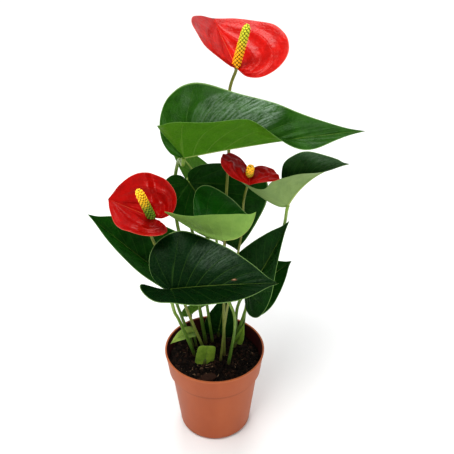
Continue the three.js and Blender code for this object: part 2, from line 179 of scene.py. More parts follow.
for name, (at, aim, size, watts) in PANELS.items():
    light = bpy.data.lights.new(name, "AREA")
    light.energy = watts
    light.size = size
    panel = new_object(name, light)
    panel.location = at
    way = np.array(aim) - np.array(at)
    flat = math.hypot(way[0], way[1])
    panel.rotation_euler = (math.atan2(flat, -way[2]), 0, math.atan2(-way[0], way[1]))

# ---- the pot ----------------------------------------------------------------------------------
# A thin injection-moulded polypropylene nursery pot. Its rim is folded out into a lip, a wider
# collar under it makes pots stack, and water leaves by arched notches in the foot and by holes
# in the raised floor. Mould flow, handling scuffs and dried peat show on it. Shade is painted
# inside it and under its collar, and a highlight is painted on its lip.
POT_HEIGHT = 115
RIM_RADIUS = 60
COLLAR_FOOT = (56, 85)  # radius and height of the collar's lower edge
BODY_TOP = 52.8  # radius just under the collar
FOOT_RADIUS = 43.5
FOOT_ROUND = 4
POT_WALL = 1.2
LIP = (2.0, 2.5)  # width and height
DISC_RADIUS = 14
FOOT_RING = 6
RECESS = 2.5
NOTCHES = (3, 15, 2.4, -52)  # count, width, height, bearing of the first in degrees
NOTCH_REACH = 16  # length of a notch's cut toward the axis
DRAIN_HOLES = (6, 4)  # count and radius
CORNER = 0.45  # radius of the moulding's corners
TURNED_STEPS = 192
SHARP_POT = 38  # degrees between faces from which an edge shows sharp


def rounded(profile, radius, steps=4):
    """A profile of (r, z) with its inner corners rounded by at most a radius."""
    points = [np.array(p, float) for p in profile]
    out = [points[0]]
    for before, corner, after in zip(points, points[1:], points[2:]):
        back, ahead = before - corner, after - corner
        reach = min(radius, 0.45 * np.linalg.norm(back), 0.45 * np.linalg.norm(ahead))
        start = corner + back / np.linalg.norm(back) * reach
        end = corner + ahead / np.linalg.norm(ahead) * reach
        for k in range(steps + 1):
            t = k / steps
            out.append((1 - t) ** 2 * start + 2 * t * (1 - t) * corner + t * t * end)
    out.append(points[-1])
    return out


def mesh_of(body, name, outward=True):
    """The mesh of a bmesh, with its faces turned outward unless they already are."""
    if outward:
        body.normal_update()
        bmesh.ops.recalc_face_normals(body, faces=body.faces)
    mesh = bpy.data.meshes.new(name)
    body.to_mesh(mesh)
    body.free()
    return mesh


def turned(name, profile, steps=TURNED_STEPS):
    """A closed mesh turned about Z from a profile that starts and ends on the axis."""
    body = bmesh.new()
    angles = [2 * math.pi * i / steps for i in range(steps)]
    rings = []
    for r, z in profile:
        round_it = angles if r > 1e-6 else angles[:1]
        rings.append([body.verts.new((r * math.cos(a) * MM, r * math.sin(a) * MM, z * MM))
                      for a in round_it])
    for low, high in zip(rings, rings[1:]):
        for i in range(steps):
            j = (i + 1) % steps
            corners = [low[i % len(low)], low[j % len(low)], high[j % len(high)], high[i % len(high)]]
            corners = list(dict.fromkeys(corners))  # two of them meet on the axis
            if len(corners) > 2:
                body.faces.new(corners)
    return mesh_of(body, name)


def place_piece(name, mesh, node):
    """Links a finished mesh as the piece of the plant that stands for a CAD node."""
    piece = new_object(name, mesh)
    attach(piece, "root")
    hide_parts(node)


def plain_mesh(thing):
    """The mesh of an object with its modifiers worked out, and the object removed."""
    bpy.context.view_layer.update()
    shown = thing.evaluated_get(bpy.context.evaluated_depsgraph_get())
    made = bpy.data.meshes.new_from_object(shown)
    bpy.data.objects.remove(thing)
    return made


inside_foot = FOOT_RADIUS - POT_WALL
floor_top = RECESS + POT_WALL
collar_r, collar_z = COLLAR_FOOT
lip_width, lip_height = LIP
outside = rounded([
    (0, 0), (DISC_RADIUS, 0), (DISC_RADIUS + 1, RECESS), (FOOT_RADIUS - FOOT_RING - 1, RECESS),
    (FOOT_RADIUS - FOOT_RING, 0), (FOOT_RADIUS - 0.7 * FOOT_ROUND, 0), (FOOT_RADIUS, FOOT_ROUND),
    (BODY_TOP, collar_z), (collar_r, collar_z + 0.9),
    (RIM_RADIUS - 0.4 * lip_width, POT_HEIGHT - lip_height),
    (RIM_RADIUS, POT_HEIGHT - 0.75 * lip_height), (RIM_RADIUS, POT_HEIGHT),
    (RIM_RADIUS - lip_width, POT_HEIGHT), (collar_r - POT_WALL, collar_z + 2),
    (BODY_TOP - POT_WALL, collar_z + 0.6), (inside_foot, floor_top + 3), (inside_foot - 3, floor_top),
    (DISC_RADIUS + 2, floor_top), (DISC_RADIUS, POT_WALL), (0, POT_WALL),
], CORNER)
pot = new_object("pot_blank", turned("pot_blank", outside))


def cutter(name, radius, depth, from_axis, bearing, height=0, lying=False, squash=1.0):
    """A round cutter at a distance from the pot's axis, on a bearing in degrees. It stands, or
    lies toward the axis, and squash makes it lower."""
    body = bmesh.new()
    bmesh.ops.create_cone(body, cap_ends=True, segments=40, radius1=radius * MM, radius2=radius * MM,
                          depth=depth * MM)
    cos, sin = math.cos(math.radians(bearing)), math.sin(math.radians(bearing))
    for v in body.verts:
        x, y, z = reversed(v.co) if lying else v.co
        x += from_axis * MM
        v.co = (x * cos - y * sin, x * sin + y * cos, z * squash + height * MM)
    return new_object(name, mesh_of(body, name))


count, width, height, first = NOTCHES
cutters = [cutter("notch_cutter", width / 2, NOTCH_REACH, FOOT_RADIUS, first + 360 * i / count,
                  lying=True, squash=height / (width / 2)) for i in range(count)]
count, radius = DRAIN_HOLES
cutters += [cutter("hole_cutter", radius, 4 * POT_WALL, (DISC_RADIUS + inside_foot) / 2,
                   360 * (i + 0.5) / count, floor_top - POT_WALL / 2) for i in range(count)]
for tool in cutters:
    cut = pot.modifiers.new("cut", "BOOLEAN")
    cut.operation = "DIFFERENCE"
    cut.object = tool
    cut.solver = "EXACT"
pot_mesh = plain_mesh(pot)
for tool in cutters:
    bpy.data.objects.remove(tool)
pot_mesh.name = "pot"
pot_mesh.shade_smooth()
pot_mesh.set_sharp_from_angle(angle=math.radians(SHARP_POT))


def new_group(name, inputs, outputs):
    """A shader node group with named numbers in and out, its inputs and its end node."""
    group = bpy.data.node_groups.new(name, "ShaderNodeTree")
    for label, value in inputs.items():
        socket = group.interface.new_socket(label, in_out="INPUT", socket_type="NodeSocketFloat")
        socket.default_value = value
    for label in outputs:
        group.interface.new_socket(label, in_out="OUTPUT", socket_type="NodeSocketFloat")
    return group, group.nodes.new("NodeGroupInput").outputs, group.nodes.new("NodeGroupOutput")


def dust_group():
    """Dust and dried splashes: a soft cloud broken up by specks, as a mask."""
    group, start, end = new_group(
        "dust", {"Cloud Scale": 30.0, "Speck Scale": 600.0, "Amount": 0.5}, ["Mask"])
    at = own_place(group)
    soft = remap(group, noise(group, at, start[0], 6.0, 0.65), 0.45, 0.75)
    fine = remap(group, noise(group, at, start[1], 2.0), 0.5, 0.68)
    set_inputs(group, end, {0: times(group, soft, plus(group, 0.35, fine), start[2])})
    return group


dust = dust_group()


def dust_on(tree, cloud, speck, amount):
    """The mask of the dust group."""
    return add_node(tree, "ShaderNodeGroup", {"Cloud Scale": cloud, "Speck Scale": speck, "Amount": amount},
                    node_tree=dust).outputs[0]


def xyz(tree, vector):
    """The three parts of a vector."""
    return add_node(tree, "ShaderNodeSeparateXYZ", {0: vector}).outputs


def axis_distance(tree, x, y):
    """How far a place lies from the plant's upright axis."""
    return calc(tree, "SQRT", plus(tree, times(tree, x, x), times(tree, y, y)))


def layered(tree, colour, *layers):
    """A colour with others laid over it in turn. A layer: its mask, its most, its colour."""
    for mask, most, over in layers:
        colour = mix_colours(tree, times(tree, mask, most), colour, over)
    return colour


def bumped(tree, height, strength, distance):
    """The normal that a height gives."""
    return add_node(tree, "ShaderNodeBump", {
        "Height": height, "Strength": strength, "Distance": distance}).outputs[0]


pot_finish, tree, skin = new_finish("terracotta_coloured_plastic")
place = own_place(tree)
x, y, z = xyz(tree, place)
drawn = add_node(tree, "ShaderNodeMapping", {"Vector": place, "Scale": (1, 1, 0.25)}).outputs[0]
flow = noise(tree, drawn, 28.0, 5.0, 0.55)
grain = noise(tree, place, 1400.0, 2.0)
tint = mix_colours(tree, remap(tree, flow, 0.3, 0.7), (0.36, 0.084, 0.026), (0.41, 0.105, 0.035))
# Painted highlight: a band at the top of the lip is painted lighter, where the rolled lip catches the light.
lip_highlight = remap(tree, z, (POT_HEIGHT - 3.2) * MM, (POT_HEIGHT - 2.2) * MM)
tint = mix_colours(tree, lip_highlight, tint, (0.45, 0.125, 0.042))
# The wall's inside is painted dark: painted shade, with damp and dried peat stains over it.
slope = (RIM_RADIUS - lip_width - collar_r + POT_WALL) / (POT_HEIGHT - collar_z - 2)
wall_middle = plus(tree, (collar_r - POT_WALL / 2 - slope * (collar_z + 2)) * MM, times(tree, z, slope))
within = calc(tree, "SUBTRACT", wall_middle, axis_distance(tree, x, y))
inner = times(tree, remap(tree, within, -0.2 * MM, 0.2 * MM),
              remap(tree, z, (POT_HEIGHT - 0.4) * MM, (POT_HEIGHT - 1.5) * MM),
              remap(tree, z, (collar_z + 3) * MM, (collar_z + 5) * MM))
shade_and_stain = mix_colours(tree, dust_on(tree, 60.0, 900.0, 1.3), (0.07, 0.009, 0.01), (0.02, 0.008, 0.006))
tint = mix_colours(tree, inner, tint, shade_and_stain)
tint = mix_colours(tree, dust_on(tree, 22.0, 1100.0, 0.06), tint, (0.62, 0.36, 0.25))
# Painted shadow: a dark band is painted under the collar's lower edge.
collar_shadow = times(tree, remap(tree, z, (collar_z - 6.5) * MM, (collar_z - 3.5) * MM),
                     remap(tree, z, (collar_z + 1.6) * MM, (collar_z + 0.8) * MM))
low_dirt = times(tree, remap(tree, z, 12 * MM, 0.0), remap(tree, flow, 0.4, 0.7))
tint = layered(tree, tint, (collar_shadow, 0.38, (0.16, 0.035, 0.014)), (low_dirt, 0.5, (0.2, 0.07, 0.04)))
set_inputs(tree, skin, {
    "Base Color": tint, "Specular IOR Level": 0.28,
    "Roughness": plus(tree, 0.42, times(tree, flow, 0.16), times(tree, inner, 0.25)),
    "Normal": bumped(tree, plus(tree, times(tree, grain, 0.25), flow), 0.12, 0.6 * MM),
})
pot_mesh.materials.clear()
pot_mesh.materials.append(pot_finish)
place_piece("pot_body", pot_mesh, "pot")

# ---- the peat ---------------------------------------------------------------------------------
# Dark, coarse potting peat with bark chips and pale root fibres. It fills the pot to under the
# rim, mounds a little round the stalks and sinks where it meets the wall.
PEAT_LEVEL = 97
PEAT_MOUND = 2.5
PEAT_RINGS = 70
PEAT_STEPS = 150
WALL_GAP = 0.4
# Litter: how many, its least and most size, how far from the axis it reaches, and its seed.
CRUMBS = {"Count": 2400, "Least": 0.7, "Most": 3.0, "Reach": 54.0, "Seed": 4}
CHIPS = {"Count": 90, "Least": 1.8, "Most": 4.2, "Reach": 51.0, "Seed": 21}
THREADS = {"Count": 16, "Least": 1.6, "Most": 3.4, "Reach": 44.0, "Seed": 5}
FIBRES = {"Count": 120, "Least": 0.6, "Most": 1.5, "Reach": 51.0, "Seed": 9}
# One broad piece of bark lies in front of the young leaf: its place, its half size, its lean.
BARK = (-7, -37, 100.6)
BARK_HALF = (9.5, 5.2)
BARK_LEAN = (16, -5, 8)
BARK_TINT = 0.985  # where it lies in the peat's range from black to bark brown


def wall_at(height):
    """The inside radius of the pot's collar at a height."""
    share = (height - collar_z - 2) / (POT_HEIGHT - collar_z - 2)
    return (1 - share) * (collar_r - POT_WALL) + share * (RIM_RADIUS - lip_width)


def peat_profile():
    """The peat's outline from the axis at its bottom to the axis at its top."""
    points = [
        (0, floor_top + WALL_GAP), (DISC_RADIUS + 2 - WALL_GAP, floor_top + WALL_GAP),
        (inside_foot - 3 - WALL_GAP, floor_top + WALL_GAP), (inside_foot - WALL_GAP, floor_top + 3),
        (BODY_TOP - POT_WALL - 0.75, collar_z + 0.2), (wall_at(collar_z + 2.6) - WALL_GAP, collar_z + 2.6),
        (wall_at(PEAT_LEVEL - 4) - WALL_GAP, PEAT_LEVEL - 4),
    ]
    for k in range(PEAT_RINGS, 0, -1):
        share = k / PEAT_RINGS
        points.append(((wall_at(PEAT_LEVEL) - WALL_GAP) * share,
                       PEAT_LEVEL + PEAT_MOUND * (1 - share ** 2) - 1.5 * share ** 8))
    return [*points, (0, PEAT_LEVEL + PEAT_MOUND)]


peat_mesh = turned("peat", peat_profile(), PEAT_STEPS)
for v in peat_mesh.vertices:
    if v.co.z > (PEAT_LEVEL - 2) * MM:
        across = math.hypot(v.co.x, v.co.y) / MM
        fade = min(1.0, max(0.0, (wall_at(PEAT_LEVEL) - 1 - across) / 4))
        coarse = mathutils.noise.fractal(v.co * 95, 0.7, 2.0, 4)
        fine = mathutils.noise.fractal(v.co * 420, 0.6, 2.0, 3)
        v.co.z += (1.7 * coarse + 0.8 * fine) * fade * MM


def carry(mesh, name, kind, values):
    """Gives each point of a mesh a number, a vector or a colour under a name."""
    part = {"FLOAT": "value", "FLOAT_VECTOR": "vector", "FLOAT_COLOR": "color"}[kind]
    mesh.attributes.new(name, kind, "POINT").data.foreach_set(part, np.ravel(values))


def carried(tree, name, kind="Fac"):
    """What the points of a mesh carry under a name."""
    return add_node(tree, "ShaderNodeAttribute", attribute_name=name).outputs[kind]


peat_finish, tree, skin = new_finish("peat")
place = own_place(tree)
crumbly = noise(tree, place, 260.0, 8.0, 0.7)
damp = remap(tree, noise(tree, place, 45.0, 4.0), 0.4, 0.7)
own = carried(tree, "tint")
tint = mix_colours(tree, remap(tree, crumbly, 0.3, 0.75), (0.004, 0.0026, 0.002), (0.022, 0.013, 0.009))
tint = layered(tree, tint, (damp, 0.5, (0.008, 0.005, 0.004)))
tint = mix_colours(tree, remap(tree, own, 0.6, 1.0, 0.0, 0.7), tint, (0.07, 0.031, 0.019))
set_inputs(tree, skin, {
    "Base Color": mix_colours(tree, remap(tree, own, 0.99, 1.0), tint, (0.16, 0.1, 0.06)),
    "Roughness": 0.9, "Specular IOR Level": 0.22, "Normal": bumped(tree, crumbly, 0.7, 1.5 * MM),
})
peat_mesh.materials.append(peat_finish)

fibre_finish, tree, skin = new_finish("peat_fibre")
streak = remap(tree, noise(tree, own_place(tree), 500.0, 3.0), 0.35, 0.65)
set_inputs(tree, skin, {
    "Base Color": mix_colours(tree, streak, (0.16, 0.09, 0.05), (0.42, 0.28, 0.16)), "Roughness": 0.8})


def new_tree(name, **inputs):
    """A Geometry Nodes tree with a mesh in and out and named number inputs."""
    tree = bpy.data.node_groups.new(name, "GeometryNodeTree")
    tree.interface.new_socket("Geometry", in_out="INPUT", socket_type="NodeSocketGeometry")
    for label, value in inputs.items():
        kind = "NodeSocketInt" if isinstance(value, int) else "NodeSocketFloat"
        tree.interface.new_socket(label, in_out="INPUT", socket_type=kind).default_value = value
    tree.interface.new_socket("Geometry", in_out="OUTPUT", socket_type="NodeSocketGeometry")
    return tree, tree.nodes.new("NodeGroupInput").outputs


def finish_tree(tree, geometry, finish):
    """Realize Instances and Set Material, the last two nodes of every tree here."""
    real = add_node(tree, "GeometryNodeRealizeInstances", {0: geometry})
    made = add_node(tree, "GeometryNodeSetMaterial", {"Geometry": real.outputs[0], "Material": finish})
    add_node(tree, "NodeGroupOutput", {0: made.outputs[0]})
    return tree


def stored(tree, geometry, name, value, domain="POINT"):
    """A geometry that carries a value under a name."""
    return add_node(tree, "GeometryNodeStoreNamedAttribute", {
        "Geometry": geometry, "Name": name, "Value": value}, data_type="FLOAT", domain=domain).outputs[0]


def grow(name, tree, onto=None, **inputs):
    """The plain mesh that a tree makes on a mesh, or on nothing."""
    thing = new_object(name, onto or bpy.data.meshes.new(name))
    live = thing.modifiers.new("grow", "NODES")
    live.node_group = tree
    sockets = {s.name: s.identifier for s in tree.interface.items_tree if s.in_out == "INPUT"}
    for label, value in inputs.items():
        live[sockets[label]] = value
    made = plain_mesh(thing)
    made.name = name
    return made


def litter_tree(name, shape, finish, values, flat):
    """Scatters a shape over the top of the peat. Flat pieces lie down, others turn any way."""
    tree, start = new_tree(name, **values)
    x, y, z = xyz(tree, add_node(tree, "GeometryNodeInputPosition").outputs[0])
    inside = calc(tree, "LESS_THAN", axis_distance(tree, x, y), times(tree, start["Reach"], MM))
    on_top = calc(tree, "GREATER_THAN", z, (PEAT_LEVEL - 4) * MM)
    area = times(tree, start["Reach"], start["Reach"], math.pi * MM * MM)
    spread = add_node(tree, "GeometryNodeDistributePointsOnFaces", {
        "Mesh": start["Geometry"], "Selection": times(tree, inside, on_top),
        "Density": calc(tree, "DIVIDE", start["Count"], area), "Seed": start["Seed"]})
    size = add_node(tree, "FunctionNodeRandomValue", {2: 0.0, 3: 1.0, "Seed": start["Seed"]},
                    data_type="FLOAT").outputs[1]
    span = calc(tree, "SUBTRACT", start["Most"], start["Least"])
    scale = times(tree, plus(tree, start["Least"], times(tree, calc(tree, "POWER", size, 2.2), span)), MM)
    lean = 0.2 if flat else math.pi
    turn = add_node(tree, "FunctionNodeRandomValue", {
        0: (-lean, -lean, 0), 1: (lean, lean, 2 * math.pi), "Seed": start["Seed"]}, data_type="FLOAT_VECTOR")
    set_out = add_node(tree, "GeometryNodeInstanceOnPoints", {
        "Points": spread.outputs[0], "Instance": shape(tree), "Rotation": turn.outputs[0], "Scale": scale})
    shade = add_node(tree, "FunctionNodeRandomValue", {2: 0.0, 3: 1.0, "Seed": 77}, data_type="FLOAT")
    marked = stored(tree, set_out.outputs[0], "tint", shade.outputs[1], "INSTANCE")
    real = add_node(tree, "GeometryNodeRealizeInstances", {0: marked})
    rough = add_node(tree, "ShaderNodeTexNoise", {"Scale": 700.0, "Detail": 2.0}).outputs["Color"]
    shift = add_node(tree, "ShaderNodeVectorMath", {0: rough, 1: (0.5, 0.5, 0.5)}, operation="SUBTRACT")
    offset = add_node(tree, "ShaderNodeVectorMath", {0: shift.outputs[0], "Scale": 1.2 * MM},
                      operation="SCALE")
    moved = add_node(tree, "GeometryNodeSetPosition", {
        "Geometry": real.outputs[0], "Offset": offset.outputs[0]})
    return finish_tree(tree, moved.outputs[0], finish)


def crumb(tree):
    """A grain of peat."""
    return add_node(tree, "GeometryNodeMeshIcoSphere", {"Radius": 1.0, "Subdivisions": 1}).outputs[0]


def chip(tree):
    """A flat piece of bark."""
    return add_node(tree, "GeometryNodeMeshCube", {
        "Size": (2.0, 1.1, 0.4), "Vertices X": 3, "Vertices Y": 3}).outputs[0]


def fibre(tree):
    """A bent piece of root."""
    bend = add_node(tree, "GeometryNodeCurveArc", {"Resolution": 7, "Radius": 5.0, "Sweep Angle": 1.3})
    ring = add_node(tree, "GeometryNodeCurvePrimitiveCircle", {"Resolution": 4, "Radius": 0.22})
    rod = add_node(tree, "GeometryNodeCurveToMesh", {
        "Curve": bend.outputs[0], "Profile Curve": ring.outputs[0], "Fill Caps": True})
    return add_node(tree, "GeometryNodeTransform", {
        "Geometry": rod.outputs[0], "Translation": (-4.0, -3.0, 0.0)}).outputs[0]


def joined(name, *meshes):
    """Meshes joined into one, with their materials."""
    finishes = []
    body = bmesh.new()
    for mesh in meshes:
        first = len(body.faces)
        body.from_mesh(mesh)
        body.faces.ensure_lookup_table()
        for finish in mesh.materials:
            if finish not in finishes:
                finishes.append(finish)
        for face in body.faces[first:]:
            face.material_index = finishes.index(mesh.materials[face.material_index])
        bpy.data.meshes.remove(mesh)
    made = mesh_of(body, name, outward=False)
    for finish in finishes:
        made.materials.append(finish)
    return made


bark_body = bmesh.new()
bmesh.ops.create_grid(bark_body, x_segments=20, y_segments=12, size=1)
for v in bark_body.verts:
    x, y, _ = v.co
    lump = mathutils.noise.fractal(v.co * 1.7, 0.8, 2.0, 4)
    ragged = 1 + 0.16 * mathutils.noise.noise(v.co * 3)
    v.co = (BARK_HALF[0] * x * ragged * (1 - 0.25 * y ** 2), BARK_HALF[1] * y * ragged * (1 - 0.3 * x ** 4),
            0.8 * lump + 1.4 * (1 - x ** 2) * (1 - y ** 2))
bmesh.ops.solidify(bark_body, geom=bark_body.faces[:], thickness=-1.1)
for v in bark_body.verts:
    v.co.rotate(mathutils.Euler([math.radians(turn) for turn in BARK_LEAN]))
    v.co = (v.co + mathutils.Vector(BARK)) * MM
bark_mesh = mesh_of(bark_body, "bark")
carry(bark_mesh, "tint", "FLOAT", [BARK_TINT] * len(bark_mesh.vertices))
bark_mesh.materials.append(peat_finish)
bark_mesh.shade_smooth()

LITTER = {
    "crumbs": (crumb, peat_finish, CRUMBS, False), "chips": (chip, peat_finish, CHIPS, True),
    "fibres": (fibre, fibre_finish, FIBRES, True), "threads": (fibre, fibre_finish, THREADS, True),
}
litter = [grow(name, litter_tree(name, *kind), peat_mesh.copy()) for name, kind in LITTER.items()]
place_piece("peat", joined("peat_with_litter", peat_mesh, bark_mesh, *litter), "soil")

# ---- the leaves -------------------------------------------------------------------------------
# Leathery heart-shaped blades, each grown on one long round stalk from the peat. The blade is
# folded along its midrib and quilted between its side veins; a ridge runs under the midrib, the
# margin is thin and pale, and the stalk swells a little under the blade.
BLADE_THICK = 0.55
CURL = -26  # degrees by which half a leaf flattens from its midrib to its margin
FAN_SHARE = 0.5  # share of the outline whose veins meet at the stalk
ROOT_DEPTH = 10
SMALL = dict(grid=(56, 16), veins=6)  # what the small leaves share
SHARP_BLADE = 70  # degrees between faces from which an edge shows sharp
SHARP_STALK = 60
# Half outline from the bottom of the notch, round the lobe, to the tip: [along, across].
LEAF_OUTLINE = [
    (-0.1, 0), (-0.62, 0.1), (-0.96, 0.34), (-0.9, 0.66), (-0.42, 0.92), (0.08, 1),
    (0.3, 0.9), (0.54, 0.66), (0.76, 0.36), (0.9, 0.12), (1, 0),
]
BLUNT_OUTLINE = [
    (-0.1, 0), (-0.6, 0.2), (-0.9, 0.6), (-0.6, 0.95), (-0.1, 1), (0.3, 0.98),
    (0.62, 0.95), (0.86, 0.84), (0.97, 0.55), (1, 0.25), (1, 0),
]
# base: where the stalk meets the blade. tip: its point. face: where its upper side looks. Pairs
# are for the left and right half seen from the stalk. width: of each half. slim: how much
# narrower it gets toward the tip. skew: how far it is drawn forward. lobe: how far it reaches
# back. notch: 1 narrows the lobe's root. fold: rise of each half from the midrib in degrees, at
# the base and at the tip, and fold_at the shares of the length between which it changes. lift:
# rise of the lobe's back. arch: height of the midrib over its chord. wave: height, waves and
# phase at the margin. swell: a ridge on the far half, (from, to, across, reach, height).
# radius: of the stalk. foot: where it leaves the peat. via: points it passes. stem: how much
# it meets the blade from underneath and behind. upper, under: colours, in shades of 0 to 255.
# quilt: depth of the side veins. blemish: a dry spot, (ahead, across, reach). sheen_patch: a
# painted sheen, a pale patch where the waxy skin catches the light, (ahead, across, half length,
# half width, softness, strength). outline: where it isn't a heart. veins: side veins of half a
# blade. grid: rows along the outline and columns across a half.
LEAVES = {
    "leaf_top": dict(
        base=(-29, -12, 382), tip=(149, -30, 421), face=(0, 0, 1), width=(74, 66), slim=(0.4, 0.4),
        lobe=(22, 15), notch=(0, 1), lift=(0, 14), fold=(50, 55), fold_tip=(30, -28),
        fold_at=(0.4, 0.78), arch=3, wave=(3, 2, 0), radius=2.1, foot=(-10, 26),
        via=((-26, 30, 205), (-42, 44, 262), (-45, 57, 306), (-38, 40, 350)), upper=(34, 76, 12),
        under=(66, 112, 18), quilt=0.3, swell=(2, 122, 45, 18, 3), sheen_patch=(61, 34, 46, 26, 0.12, 0.38),
    ),
    "leaf_right_upper": dict(
        base=(80, -5, 321), tip=(142, 0, 368), face=(-0.6, 0.1, 0.8), width=(38, 36), skew=(0.7, -0.2),
        lobe=(6, 19), fold=(60, 70), fold_tip=(5, 0), arch=10, lift=(0, 33), wave=(2, 2, 0), radius=1.9,
        foot=(27, 31), via=((29, 22, 165), (49, 22, 200), (66, 23, 228), (78, 18, 276)),
        stem=(0.45, 0.5), upper=(24, 60, 18), under=(124, 146, 92),
    ),
    "leaf_back": dict(
        base=(-27, 44, 320), tip=(29, 32, 234), face=(-0.1, -0.9, 0.5), width=(74, 38), slim=(0.4, 0.4),
        skew=(0.5, 0), lobe=(24, 20), fold=(6, 20), fold_tip=(5, 10), arch=4, wave=(2, 2, 0),
        radius=1.9, foot=(-2, 28), via=((-8, 24, 150), (-18, 38, 223), (-30, 49, 278)),
        upper=(20, 66, 12), under=(72, 116, 38),
    ),
    "leaf_centre": dict(
        base=(-6, -20, 290), tip=(45, -28, 327), face=(0.4, 0, 1), width=(66, 68), slim=(0.75, 0),
        skew=(0.2, 0), lobe=(8, 10), fold=(58, 55), fold_tip=(10, 60), arch=-16, wave=(1, 2, 0),
        radius=1.8, foot=(15, -14), via=((24, -14, 172), (16, -10, 198), (1, -8, 252)),
        upper=(16, 76, 8), under=(126, 160, 80),
    ),
    "leaf_front": dict(
        base=(-43, -62, 252), tip=(69, -64, 261), face=(0, -0.31, 0.95), width=(60, 60), lobe=(23, 27),
        fold=(32, 42), fold_tip=(10, 10), arch=3, lift=(4, 20), wave=(2, 2, 0), radius=2, foot=(-21, 5),
        via=((-40, -18, 172), (-43, -50, 214)), upper=(2, 36, 8), under=(62, 104, 44),
        blemish=(66, 5, 2.8), sheen_patch=(52, 32, 36, 20, 0.5, 0.16),
    ),
    "leaf_left": dict(
        base=(-58, 18, 211), tip=(-137, 8, 301), face=(0.45, -0.6, 0.6), width=(52, 52), lobe=(8, 12),
        fold=(56, 4), fold_tip=(35, 0), arch=-4, wave=(2, 2, 0), radius=1.9, foot=(-24, 18),
        via=((-42, 24, 150), (-54, 26, 190)), upper=(18, 70, 8), under=(76, 120, 40),
    ),
    "leaf_right": dict(
        base=(41, 8, 195), tip=(83, 4, 295), face=(-0.4, -0.8, 0.5), width=(38, 38), lobe=(16, 16),
        fold=(10, 30), fold_tip=(5, 46), arch=-4, wave=(1, 2, 0), radius=1.9, foot=(20, 24),
        via=((33, 20, 140), (39, 14, 170)), upper=(14, 56, 12), under=(76, 122, 38),
    ),
    "leaf_right_low": dict(
        base=(40, 33, 173), tip=(91, 36, 218), face=(-0.4, -0.8, 0.5), width=(33, 33), lobe=(9, 9),
        fold=(10, 10), fold_tip=(5, 5), arch=-4, wave=(1, 2, 0), radius=1.7, foot=(33, 38),
        via=((37, 40, 134),), upper=(20, 66, 14), under=(82, 128, 44), quilt=0.3, **SMALL,
    ),
    "leaf_low": dict(
        base=(5, 36, 113), tip=(14, 30, 174), face=(0, -1, 0.3), width=(20, 20), lobe=(8, 8),
        fold=(10, 15), fold_tip=(5, 5), arch=-2, wave=(1, 2, 0), radius=1.5, foot=(5, 36),
        stem=(0.1, 1), upper=(20, 62, 20), under=(90, 134, 46), quilt=0.3, **SMALL,
    ),
    "leaf_low_left": dict(
        base=(-30, 40, 134), tip=(6, 46, 149), face=(0, 0.7, 0.7), width=(26, 26), lobe=(10, 10),
        fold=(10, 10), fold_tip=(5, 5), arch=3, wave=(1, 2, 0), radius=1.5, foot=(-22, 37),
        upper=(44, 106, 30), under=(98, 142, 52), quilt=0.3, **SMALL,
    ),
    "leaf_young_left": dict(
        base=(-28, 16, 124), tip=(-54, 2, 118), face=(0, -0.5, 0.9), width=(9, 9), lobe=(6, 6),
        fold=(30, 30), fold_tip=(5, 5), arch=7, wave=(0, 1, 0), radius=1.4, foot=(-21, 17),
        upper=(138, 164, 84), under=(124, 164, 70), quilt=0.15, **SMALL,
    ),
    "leaf_young_front": dict(
        base=(-11, -12, 107), tip=(-8, -10, 126), face=(0.2, -1, 0.3), width=(12, 12), lobe=(13, 13),
        fold=(-15, -15), fold_tip=(-15, -15), wave=(0, 1, 0), radius=1.6, foot=(-10, -12), stem=(0, 1),
        upper=(134, 166, 66), under=(128, 166, 72), outline=BLUNT_OUTLINE, quilt=0.15, **SMALL,
    ),
    "leaf_young_right": dict(
        base=(27, 19, 107), tip=(36, 20, 136), face=(0.2, -1, 0.3), width=(7, 7), lobe=(3, 3),
        fold=(25, 25), fold_tip=(15, 15), arch=2, wave=(0, 1, 0), radius=1.5, foot=(27, 18),
        stem=(0, 1), upper=(120, 154, 62), under=(130, 166, 74), quilt=0.15, **SMALL,
    ),
    "leaf_behind": dict(
        base=(-9, 86, 290), tip=(-53, 69, 365), face=(-0.5, 0.3, 0.6), width=(20, 16), lobe=(12, 12),
        fold=(20, 20), fold_tip=(5, 5), arch=-4, wave=(1, 2, 0), radius=1.7, foot=(14, 45),
        via=((4, 64, 210),), upper=(20, 70, 14), under=(82, 126, 44),
    ),
}


def smooth(x):
    """A soft step from 0 to 1."""
    x = np.clip(x, 0, 1)
    return x * x * (3 - 2 * x)


def unit(v):
    """A direction one long."""
    return v / np.linalg.norm(v)


def paint(shades):
    """A colour in the light values of the render, from shades of 0 to 255."""
    return [v / 255 / 12.92 if v < 11 else ((v / 255 + 0.055) / 1.055) ** 2.4 for v in shades]


def through(points, shares, evenness):
    """A Catmull-Rom curve through points: evenness 0 is uniform and 0.5 centripetal."""
    p = [np.array(q, float) for q in points]
    p = [2 * p[0] - p[1], *p, 2 * p[-1] - p[-2]]
    out = []
    for share in shares:
        place = share * (len(p) - 3)
        k = min(int(place), len(p) - 4)
        w = place - k
        a, b, c, d = p[k:k + 4]
        steps = [max(np.linalg.norm(q - o), 1e-4) ** evenness for o, q in ((a, b), (b, c), (c, d))]
        leave = ((b - a) / steps[0] - (c - a) / (steps[0] + steps[1]) + (c - b) / steps[1]) * steps[1]
        reach = ((c - b) / steps[1] - (d - b) / (steps[1] + steps[2]) + (d - c) / steps[2]) * steps[1]
        bend = -3 * b + 3 * c - 2 * leave - reach
        turn = 2 * b - 2 * c + leave + reach
        out.append(b + leave * w + bend * w * w + turn * w ** 3)
    return np.array(out)


def blade_frame(spec):
    """A blade's length and its directions ahead, up and to the left."""
    chord = np.array(spec["tip"], float) - spec["base"]
    ahead = unit(chord)
    up = np.array(spec["face"], float)
    up = unit(up - ahead * up.dot(ahead))
    return np.linalg.norm(chord), ahead, up, np.cross(up, ahead)


